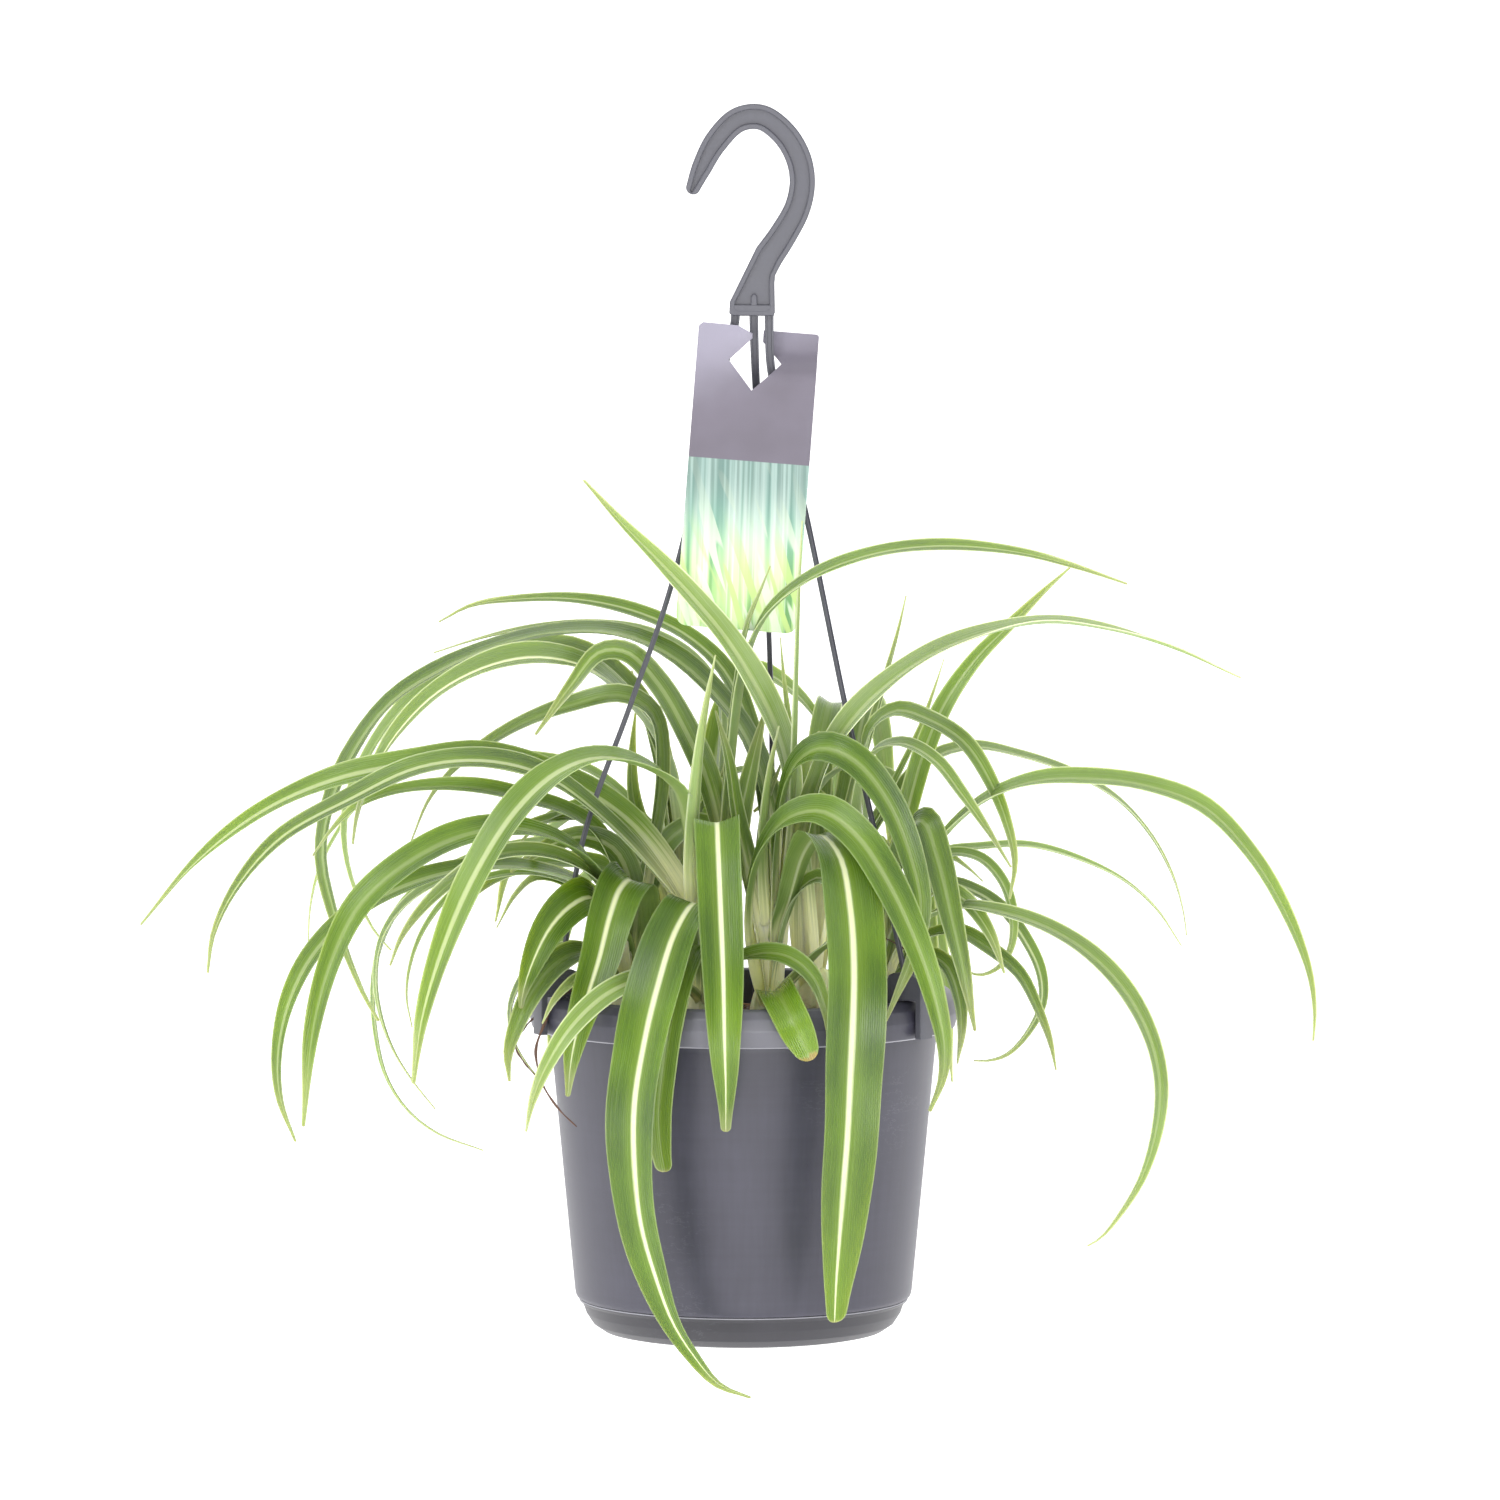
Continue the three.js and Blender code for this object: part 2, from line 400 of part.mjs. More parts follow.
function makePot() {
  const body = turned([
    [0, 3.4], [46, 3.4], [47.5, 1.9], [51.5, 1.9], [57.3, 4.6], [60.4, 9.2], [61.3, SHOULDER_HEIGHT - 0.4],
    [SHOULDER_RADIUS, SHOULDER_HEIGHT], [65.8, 14.8], [WALL_FOOT_RADIUS, 17], [WALL_TOP_RADIUS, 118],
    [77, 130.5], [79.6, 132.6], [82.3, 128], [82, SKIRT_BOTTOM + 0.6], [82.8, SKIRT_BOTTOM],
    [83.6, SKIRT_BOTTOM + 0.8], [RIM_RADIUS, 128], [84, 132.6], [81.4, 135.4], [79, RIM_TOP],
    [76.9, RIM_TOP - 0.9], [75.6, 131], [WALL_TOP_RADIUS - WALL, 118], [WALL_FOOT_RADIUS - WALL, 17.4],
    [60, 11.4], [56.6, 6.4], [50, POT_FLOOR_TOP], [0, POT_FLOOR_TOP],
  ]);
  const drain = turned([[0, -1], [DRAIN_HOLE_RADIUS, -1], [DRAIN_HOLE_RADIUS, 9], [0, 9]], 8);
  const holes = [];
  for (let i = 0; i < DRAIN_HOLES; i += 1) {
    const angle = (2 * Math.PI * (i + 0.5)) / DRAIN_HOLES;
    holes.push(drain.translate(DRAIN_RING_RADIUS * Math.cos(angle), DRAIN_RING_RADIUS * Math.sin(angle), 0));
  }
  return body.subtract(wasm.Manifold.union(holes));
}

function makeSaucer() {
  return turned([
    [0, 0], [51.5, 0], [55.6, 0.9], [59.6, 3.6], [62.3, 7.8], [63.2, 12.6], [62.6, 13],
    [61.7, 12.6], [60.8, 8.9], [57.6, 4.3], [51.6, 1.6], [0, 1.6],
  ]);
}

function soilHeight(radius) {
  const share = Math.min(1, radius / (WALL_TOP_RADIUS - WALL));
  return SOIL_CROWN - (SOIL_CROWN - SOIL_EDGE) * share * share;
}

function makeSoil() {
  const edge = wallRadius(SOIL_EDGE) - WALL - GAP;
  const body = turned([
    [0, POT_FLOOR_TOP + GAP], [49.8, POT_FLOOR_TOP + GAP], [56.2, 6.8], [59.5, 11.6],
    [WALL_FOOT_RADIUS - WALL - GAP, 17.6], [edge, SOIL_EDGE], [60, soilHeight(60)], [40, soilHeight(40)],
    [20, soilHeight(20)], [0, SOIL_CROWN],
  ]);
  const hole = turned([
    [0, SOIL_CROWN - CROWN_HOLE_DEPTH], [CROWN_RADIUS + GAP, SOIL_CROWN - CROWN_HOLE_DEPTH],
    [CROWN_RADIUS + GAP, SOIL_CROWN + 5], [0, SOIL_CROWN + 5],
  ], 10);
  const holes = Object.values(CROWNS).map(([x, y]) => hole.translate(x, y, 0));
  return body.subtract(wasm.Manifold.union(holes));
}

// ---- the plant ----
// A small repeatable random generator.
function randomFrom(seed) {
  let state = seed;
  return () => {
    state = (state * 16807) % 2147483647;
    return state / 2147483647;
  };
}

function between([low, high], share) {
  return low + (high - low) * share;
}

function backBlades(crown, { count, from, to, seed }) {
  const random = randomFrom(seed);
  const [x, y] = crown;
  const blades = [];
  for (let i = 0; i < count; i += 1) {
    const bearing = THREE.MathUtils.degToRad(between([from, to], i / (count - 1)));
    const reach = between(BACK_REACH, random());
    const rise = between(BACK_RISE, random());
    const width = between(BACK_WIDTH, random());
    const drop = between([20, 95], random());
    const arch = [[0.1, 0.4], [0.26, 0.78], [0.52, 1], [0.78, 0.86]];
    const points = arch.map(([out, up]) => [out * reach, SOIL_CROWN + up * rise]);
    points.push([reach, SOIL_CROWN + 0.86 * rise - 0.45 * drop]);
    points.push([reach * 1.08, SOIL_CROWN + 0.86 * rise - drop]);
    const route = points.map(
      ([out, height]) => new THREE.Vector3(x + out * Math.cos(bearing), y + out * Math.sin(bearing), height),
    );
    blades.push({ width, turn: [0, 0, 0], shape: STRAP, route });
  }
  return blades;
}

// How wide a blade of a shape is at a place along its length, as a share of its full width.
function bladeShare(shape, along) {
  const place = along * (shape.length - 1);
  const k = Math.min(Math.floor(place), shape.length - 2);
  const t = place - k;
  const a = shape[Math.max(k - 1, 0)];
  const b = shape[k];
  const c = shape[k + 1];
  const d = shape[Math.min(k + 2, shape.length - 1)];
  const bend = (2 * a - 5 * b + 4 * c - d) * t * t + (3 * b - a - 3 * c + d) * t * t * t;
  return b + 0.5 * ((c - a) * t + bend);
}

function turnAt([root, middle, tip], along) {
  return along < 0.5 ? between([root, middle], along * 2) : between([middle, tip], along * 2 - 1);
}

// Centre, across and upward directions at even steps along a route: the across direction starts level and
// square to the way the blade leans, and is carried along the curve without twisting.
function bladeFrames(route) {
  const curve = new THREE.CatmullRomCurve3(route, false, "centripetal");
  curve.arcLengthDivisions = 400;
  const lean = route.reduce((sum, point) => sum.add(point.clone().sub(route[0])), new THREE.Vector3());
  lean.z = 0;
  const across = lean.cross(new THREE.Vector3(0, 0, 1)).normalize();
  const frames = [];
  for (let i = 0; i <= FRAME_STEPS; i += 1) {
    const along = i / FRAME_STEPS;
    const tangent = curve.getTangentAt(along);
    across.addScaledVector(tangent, -across.dot(tangent)).normalize();
    const up = new THREE.Vector3().crossVectors(across, tangent);
    frames.push({ centre: curve.getPointAt(along), tangent, across: across.clone(), up });
  }
  return { frames, length: curve.getLength(), side: Math.sign(route.at(-1).x - route[0].x) };
}

function bladeSolid({ width, turn, shape, route }) {
  const { frames, length, side } = bladeFrames(route);
  const stations = THREE.MathUtils.clamp(Math.round(length / BLADE_STEP), 5, 10);
  const places = width < FLAT_BELOW ? [-1, 1] : [-1, 0, 1];
  const upper = [];
  const lower = [];
  for (let i = 0; i <= stations; i += 1) {
    const frame = frames[Math.round((i / stations) * FRAME_STEPS)];
    const along = i / stations;
    const angle = THREE.MathUtils.degToRad(turnAt(turn, along)) * side;
    const across = frame.across.clone().applyAxisAngle(frame.tangent, angle);
    const up = frame.up.clone().applyAxisAngle(frame.tangent, angle);
    const half = Math.max((width * bladeShare(shape, along)) / 2, 0.5);
    const rise = 2 * half * BLADE_CHANNEL;
    const row = places.map((place) =>
      frame.centre.clone().addScaledVector(across, place * half).addScaledVector(up, place === 0 ? 0 : rise),
    );
    upper.push(row);
    lower.push(row.map((point) => point.clone().addScaledVector(up, -BLADE_THICKNESS)));
  }
  return strip(upper, lower);
}

// A blade's whole route: up out of its crown, then along the points that are seen.
function bladeRoute([x, y], points) {
  const spread = 0.12;
  const first = points[0];
  const root = new THREE.Vector3(
    x + spread * (first.x - x),
    y + spread * (first.y - y),
    Math.min(soilHeight(Math.hypot(x, y)) + 2, first.z - 8),
  );
  return [root, ...points];
}

function makeTuft(name) {
  const crown = CROWNS[name];
  const blades = BLADES[name].map(([width, turn, shape, points]) => {
    const route = points.map(seen);
    return { width, turn, shape, route };
  });
  if (BACK_BLADES[name]) blades.push(...backBlades(crown, BACK_BLADES[name]));
  const base = SOIL_CROWN - CROWN_HOLE_DEPTH + GAP;
  const core = turned([
    [0, base], [CROWN_RADIUS - 1.5, base], [CROWN_RADIUS, base + 6], [CROWN_RADIUS, SOIL_CROWN + 3],
    [CROWN_RADIUS - 3, SOIL_CROWN + 12], [0, SOIL_CROWN + 15],
  ], 10).translate(crown[0], crown[1], 0);
  const solids = blades.map((blade) => bladeSolid({ ...blade, route: bladeRoute(crown, blade.route) }));
  return withoutHollows(wasm.Manifold.union([core, ...solids]));
}

// ---- hanger ----
// The hook's middle line and its width there, from the tip round to the block that holds the arms.
const HOOK_LINE = [
  [-19.8, 451.8, 5.6], [-16.5, 459.4, 7.9], [-10.8, 469.8, 9.4], [-2.1, 478.4, 9.8], [7, 479.4, 9.9],
  [15.8, 473.1, 9.9], [21.4, 463.8, 10], [23.1, 454, 10], [21.2, 444, 10.2], [15.9, 434, 10.8],
  [9.9, 425.1, 11.6],
];
const HOOK_BLOCK = [
  [-5.4, 407], [-5.6, 402.6], [-4.2, HEAD_BOTTOM], [11.3, HEAD_BOTTOM], [12.4, 402.8],
  [12.2, 414.5], [12.5, 417.6],
];
const HOOK_BLOCK_MIDDLE = [3.6, 409];

// The outline at a distance inside the hook's edge.
function hookOutline(inset) {
  const line = HOOK_LINE.map(([x, z]) => new THREE.Vector3(x, 0, z));
  const curve = new THREE.CatmullRomCurve3(line, false, "centripetal");
  const steps = 20;
  const widths = HOOK_LINE.map(([, , width]) => width);
  const outer = [];
  const inner = [];
  for (let i = 0; i <= steps; i += 1) {
    const t = (i / steps) * (line.length - 1);
    const k = Math.min(Math.floor(t), line.length - 2);
    const half = between([widths[k], widths[k + 1]], t - k) / 2 - inset;
    const centre = curve.getPoint(i / steps);
    const tangent = curve.getTangent(i / steps);
    outer.push(new THREE.Vector2(centre.x - tangent.z * half, centre.z + tangent.x * half));
    inner.push(new THREE.Vector2(centre.x + tangent.z * half, centre.z - tangent.x * half));
  }
  const middle = new THREE.Vector2(...HOOK_BLOCK_MIDDLE);
  const foot = HOOK_BLOCK.map(([x, z]) => {
    const point = new THREE.Vector2(x, z);
    const towards = middle.clone().sub(point);
    point.x += Math.sign(towards.x) * inset;
    point.y += z < 405 ? inset : 0;
    return point;
  });
  const tip = outer[0].clone().add(inner[0]).multiplyScalar(0.5);
  tip.y += inset - 2;
  return [tip, ...outer, ...foot.reverse(), ...inner.reverse()];
}

function flatSolid(outline, thickness) {
  const geometry = new THREE.ExtrudeGeometry(new THREE.Shape(outline), {
    depth: thickness, bevelEnabled: false, curveSegments: 6,
  });
  geometry.rotateX(Math.PI / 2);
  geometry.translate(0, thickness / 2, 0);
  return toSolid(geometry);
}

// Each arm runs from its place along the hook's block to the rim, at a bearing round the pot in degrees.
const ARMS = {
  left: {
    head: -3.3,
    bearing: -156,
    route: [[-7.3, 383, -1.2], [-28.8, 294, -13.4], [-44.5, 248.5, -19], [-63, 196, -26]],
  },
  right: {
    head: 10.1,
    bearing: -36,
    route: [[10.6, 383, -1.2], [12.6, 372, -3], [24.8, 322.4, -12.5], [40.7, 245.4, -28], [50.4, 204, -38]],
  },
  back: {
    head: 4.1,
    bearing: 84,
    route: [[4.6, 383, 4], [10, 277, 40], [11.2, 230.5, 54], [11, 190, 66]],
  },
};

function makeHook() {
  const whole = flatSolid(hookOutline(0), HOOK_THICKNESS);
  const pocket = flatSolid(hookOutline(HOOK_BORDER), HOOK_THICKNESS);
  const cut = (HOOK_THICKNESS + HOOK_WEB) / 2;
  const sockets = Object.values(ARMS).map(({ head }) =>
    block(
      [head - ARM_TOP_WIDTH / 2 - GAP, -ARM_TOP_DEPTH / 2 - GAP, HEAD_BOTTOM - 3],
      [head + ARM_TOP_WIDTH / 2 + GAP, ARM_TOP_DEPTH / 2 + GAP, ARM_TOP + GAP],
    ),
  );
  const head = block([-4.6, -HOOK_THICKNESS / 2, HEAD_BOTTOM], [12, HOOK_THICKNESS / 2, ARM_TOP + 1.6]);
  const peg = block([3, -HOOK_THICKNESS / 2, HEAD_BOTTOM + 2], [5.4, HOOK_THICKNESS / 2, 410]);
  const recessed = whole.subtract(pocket.translate(0, cut, 0)).subtract(pocket.translate(0, -cut, 0));
  return wasm.Manifold.union([recessed, head, peg]).subtract(wasm.Manifold.union(sockets));
}

function makeArm({ head, bearing, route }) {
  const angle = THREE.MathUtils.degToRad(bearing);
  const outward = new THREE.Vector3(Math.cos(angle), Math.sin(angle), 0);
  const sideways = new THREE.Vector3(-outward.y, outward.x, 0);
  const footRadius = 78.5;
  const foot = outward.clone().multiplyScalar(footRadius).setZ(CLIP_TOP - 3);
  const top = new THREE.Vector3(head, 0, ARM_TOP);
  const neck = new THREE.Vector3(head, 0, HEAD_BOTTOM - 2);
  const points = [top, neck, ...route.map(seen), foot];
  const curve = new THREE.CatmullRomCurve3(points, false, "centripetal");
  const steps = 14;
  const upper = [];
  const lower = [];
  for (let i = 0; i <= steps; i += 1) {
    const along = Math.pow(i / steps, 1.5);
    const centre = curve.getPointAt(along);
    const tangent = curve.getTangentAt(along);
    const turn = THREE.MathUtils.smoothstep(along, 0.02, 0.3);
    const level = new THREE.Vector3(Math.sign(sideways.x), 0, 0);
    const across = level.multiplyScalar(1 - turn).addScaledVector(sideways, turn);
    across.addScaledVector(tangent, -across.dot(tangent)).normalize();
    const depth = new THREE.Vector3().crossVectors(across, tangent);
    const narrowed = Math.min(1, along / ARM_TAPER);
    const halfWidth = between([ARM_TOP_WIDTH, ARM_FOOT_WIDTH], narrowed) / 2;
    const halfDepth = between([ARM_TOP_DEPTH, ARM_FOOT_DEPTH], narrowed) / 2;
    const row = [-1, 1].map((place) => centre.clone().addScaledVector(across, place * halfWidth));
    upper.push(row.map((point) => point.clone().addScaledVector(depth, halfDepth)));
    lower.push(row.map((point) => point.clone().addScaledVector(depth, -halfDepth)));
  }
  const rod = strip(upper, lower);
  const half = CLIP_WIDTH / 2;
  const clip = wasm.Manifold.union([
    block([CLIP_INNER_RADIUS, -half, RIM_TOP + GAP], [CLIP_OUTER_RADIUS, half, CLIP_TOP - 3]),
    block([CLIP_INNER_RADIUS + 1, -half + 1, CLIP_TOP - 4], [CLIP_OUTER_RADIUS - 3.5, half - 1, CLIP_TOP]),
    block([CLIP_INNER_RADIUS, -half, 125.5], [74.7, half, RIM_TOP + 1]),
    block([RIM_RADIUS + 0.5, -half, CLIP_BOTTOM], [CLIP_OUTER_RADIUS, half, CLIP_TOP - 5]),
  ]).rotate(0, 0, bearing);
  return wasm.Manifold.union([rod, clip]);
}

// ---- label ----
// The label's outline is drawn from its top left corner, across and down. A diamond hole with a slit up to
// the top edge lets it be slipped round the arms.
const LABEL_CORNER_AT = [-17.4, 399.4];
const HOLE_LEFT = [12.8, -13.8];
const HOLE_BOTTOM = [22.6, -25.1];
const HOLE_RIGHT = [33.5, -14.2];
const SLIT_RIGHT = 25.6;
const RIGHT_TOP = -1.8;
const SLIT_LEFT = 21.4;

function labelOutline() {
  const outline = new THREE.Shape();
  outline.moveTo(0, -1.5);
  outline.lineTo(0, LABEL_CORNER - LABEL_HEIGHT);
  outline.quadraticCurveTo(0, -LABEL_HEIGHT, LABEL_CORNER, -LABEL_HEIGHT);
  outline.lineTo(LABEL_WIDTH - LABEL_CORNER, -LABEL_HEIGHT);
  outline.quadraticCurveTo(LABEL_WIDTH, -LABEL_HEIGHT, LABEL_WIDTH, LABEL_CORNER - LABEL_HEIGHT);
  outline.lineTo(LABEL_WIDTH, RIGHT_TOP - 0.8);
  outline.lineTo(LABEL_WIDTH - 0.8, RIGHT_TOP);
  outline.lineTo(SLIT_RIGHT, RIGHT_TOP);
  outline.lineTo(SLIT_RIGHT, -6.3);
  outline.lineTo(...HOLE_RIGHT);
  outline.lineTo(...HOLE_BOTTOM);
  outline.lineTo(...HOLE_LEFT);
  outline.lineTo(SLIT_LEFT, -4.5);
  outline.lineTo(SLIT_LEFT, -2.8);
  outline.lineTo(15.3, 0);
  outline.lineTo(1.5, 0);
  return outline;
}

// The label lies on the two front arms. Beside its slit the right-hand part goes back behind them and the
// left-hand flap is sprung forward.
function makeLabel() {
  const geometry = new THREE.ExtrudeGeometry(labelOutline(), {
    depth: LABEL_THICKNESS, bevelEnabled: false, curveSegments: 4,
  });
  geometry.rotateX(Math.PI / 2);
  const [left, top] = LABEL_CORNER_AT;
  const flat = toSolid(geometry).rotate(0, LABEL_TILT, 0).refineToLength(18);
  const restHeight = 373.6;
  return flat.warp((point) => {
    const across = left + point[0];
    const height = top + point[2];
    const back = 11.3 * THREE.MathUtils.smoothstep(height, 378, 388)
      * THREE.MathUtils.smoothstep(across, 3, 8);
    const forward = 5 * THREE.MathUtils.smoothstep(height, 378, 398)
      * THREE.MathUtils.smoothstep(across, -17, 0) * (1 - THREE.MathUtils.smoothstep(across, 4.5, 6));
    point[0] = across;
    point[1] += -8.2 + LABEL_LEAN * (height - restHeight) + back - forward;
    point[2] = height;
  });
}

// ---- the whole ----
const POT_COLOUR = 0x585861;
const HANGER_COLOUR = 0x5a5b63;
const LEAF_COLOUR = 0x7fa83a;

const pieces = new THREE.Group();
pieces.add(toMesh("pot", makePot(), POT_COLOUR, 0.42));
pieces.add(toMesh("drip_saucer", makeSaucer(), 0x4e4f58, 0.45));
pieces.add(toMesh("potting_soil", makeSoil(), 0x3a2a1e, 0.95));
for (const name of Object.keys(CROWNS)) {
  pieces.add(toMesh(`tuft_${name}`, makeTuft(name), LEAF_COLOUR, 0.5));
}
pieces.add(toMesh("hook", makeHook(), HANGER_COLOUR, 0.45));
for (const [side, arm] of Object.entries(ARMS)) {
  pieces.add(toMesh(`hanger_arm_${side}`, makeArm(arm), HANGER_COLOUR, 0.45));
}
pieces.add(toMesh("plant_label", makeLabel(), 0x91869a, 0.5));

// The origin is where the hook hangs.
pieces.position.set(-SADDLE_X, 0, -SADDLE_HEIGHT);
const plant = new THREE.Group();
plant.add(pieces);

export default plant;
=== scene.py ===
import math
import random

import bmesh
import bpy
import numpy as np
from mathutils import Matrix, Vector
from mathutils import geometry as plane_geometry
from mathutils import noise


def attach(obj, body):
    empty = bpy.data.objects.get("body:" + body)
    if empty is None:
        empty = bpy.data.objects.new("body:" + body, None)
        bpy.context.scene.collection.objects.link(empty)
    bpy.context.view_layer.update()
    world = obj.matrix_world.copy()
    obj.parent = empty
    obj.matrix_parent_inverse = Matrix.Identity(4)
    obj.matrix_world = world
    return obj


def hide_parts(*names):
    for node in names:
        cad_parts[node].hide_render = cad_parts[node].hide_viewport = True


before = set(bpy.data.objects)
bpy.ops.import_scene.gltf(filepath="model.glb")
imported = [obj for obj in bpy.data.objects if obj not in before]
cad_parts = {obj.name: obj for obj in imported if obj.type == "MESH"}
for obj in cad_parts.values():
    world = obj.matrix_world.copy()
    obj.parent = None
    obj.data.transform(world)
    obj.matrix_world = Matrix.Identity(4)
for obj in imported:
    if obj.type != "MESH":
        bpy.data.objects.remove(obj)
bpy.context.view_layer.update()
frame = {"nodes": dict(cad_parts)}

# The looks of a potted spider plant. Lengths are in millimetres, with heights counted from the underside
# of the drip saucer and the pot's axis at x = 0, y = 0; to_row() turns them into the frame's metres.
SADDLE = np.array([8.0, 0.0, 473.25])  # the hook's inner edge, where the frame has its origin
UP = np.array([0.0, 0.0, 1.0])

# ---- dimensions, as on the plain solids ----
GAP = 0.3
RIM_RADIUS = 85
RIM_TOP = 136.2
SKIRT_BOTTOM = 121
BAND_HIGHLIGHT = 0.42  # how strong the painted highlight on the front of the band over the skirt is
BAND_HIGHLIGHT_REACH = [16, 42]  # the distances to each side over which that fades
WALL = 1.3
WALL_TOP_RADIUS = 76.3
WALL_FOOT_RADIUS = 66.7
WALL_LOW = 17  # the heights between which the wall widens evenly
WALL_HIGH = 118
SHOULDER_RADIUS = 63.3
SHOULDER_HEIGHT = 13.5
LIP_HIGHLIGHT_FROM = 13.1  # above this height the saucer's lip has a painted highlight
POT_FLOOR_TOP = 4.9
SOIL_EDGE = 121.5
SOIL_CROWN = 126
CROWN_HOLE_DEPTH = 24
CROWN_RADIUS = 8.5
HOOK_THICKNESS = 5.5
HOOK_BORDER = 2.2
HOOK_WEB = 2.3
ARM_TOP = 404.6
ARM_TOP_WIDTH = 3.6
ARM_FOOT_WIDTH = 2
ARM_TOP_DEPTH = 2.1
ARM_FOOT_DEPTH = 1.6
ARM_TAPER = 0.35
HEAD_BOTTOM = 401.6
CLIP_WIDTH = 8
CLIP_TOP = 147
CLIP_BOTTOM = 121.7
CLIP_INNER_RADIUS = 71.6
CLIP_OUTER_RADIUS = 88.4
LABEL_WIDTH = 47.5
LABEL_HEIGHT = 118
LABEL_THICKNESS = 0.8
LABEL_CORNER = 5
LABEL_LEAN = 0.183
LABEL_TILT = 4.5
BLADE_THICKNESS = 0.8
BLADE_CHANNEL = 0.15
FRAME_STEPS = 60
EYE_DISTANCE = 4000  # the eye in front, from which each route is written as it is seen
EYE_HEIGHT = 561
EYE_ACROSS = 2.6

# ---- camera, floor and light ----
CAMERA_PLACE = (2.57, -EYE_DISTANCE, EYE_HEIGHT)
CAMERA_PITCH = 4.724  # degrees below level
CAMERA_LENS = 244.4
CAMERA_SENSOR = 36
FLOOR_DROP = 300  # the plant hangs this far above the floor
FLOOR_SIZE = 400  # metres, so that the floor fills the view
FLOOR_GLOW = 0.5
SKY_BELOW = 0.24
SKY_ABOVE = 1.2
SKY_BEHIND = 1.2  # added to the others at the back
PLANT_MIDDLE = (0, 0, -0.3)  # metres
POT_MIDDLE = (0, 0, -0.4)

# Each soft lamp's place in metres, its width and height, its power and what it is aimed at.
LAMPS = {
    "key_lamp": [(-0.9, -1.7, 1.7), 1.0, 1.0, 24, PLANT_MIDDLE],
    "front_fill": [(0.1, -2.9, -0.2), 1.2, 0.8, 30, PLANT_MIDDLE],
    "front_left_strip": [(-1.6, -2.1, -0.5), 1.1, 0.28, 6, POT_MIDDLE],
    "front_right_strip": [(1.5, -2.2, -0.5), 1.4, 0.28, 8, POT_MIDDLE],
    "left_panel": [(-1.7, -0.2, 0.1), 1.4, 1.4, 13, PLANT_MIDDLE],
    "right_panel": [(1.7, 0.1, 0.1), 1.4, 1.4, 8, PLANT_MIDDLE],
}

# ---- how finely round pieces are turned, and seeds ----
POT_SIDES = 192
SOIL_SIDES = 160
CROWN_SIDES = 48
BARK_SEED = 5
LEAF_SEED = 20
SMALL = 1e-4  # the step over which a curve's direction is taken

# ---- bark chips on the soil: how many, how far out, and their sizes ----
BARK_COUNT = 260
BARK_REACH = 72
BARK_SIZES = [0.7, 2.4]
BARK_LENGTHS = [0.8, 1.9]  # these three are multiples of a chip's size
BARK_WIDTHS = [0.6, 1.1]
BARK_HEIGHTS = [0.35, 0.7]
BARK_ROUGHNESS = [0.72, 1.12]

# ---- the plant's six crowns: where each stands in the soil ----
CROWNS = {
    "front_left": [-16, -20],
    "front_right": [11, -20],
    "right": [54, -8],
    "left": [-46, -8],
    "back_left": [-22, 34],
    "back_right": [28, 36],
}

# ---- blade shapes: the width at even steps from root to tip, as a share of the full width ----
STRAP = [0.5, 0.72, 0.92, 1, 0.98, 0.88, 0.7, 0.44, 0.1]
THREAD = [0.3, 0.6, 0.92, 1, 0.95, 0.86, 0.68, 0.36, 0.06]
STALKED = [0.25, 0.28, 0.52, 0.94, 1, 1, 0.94, 0.79, 0.34]
ROUNDED = [0.5, 0.75, 0.92, 1, 1, 1, 1, 0.95, 0.6]
POINTED = [0.5, 0.75, 0.92, 1, 1, 0.98, 0.88, 0.62, 0.22]

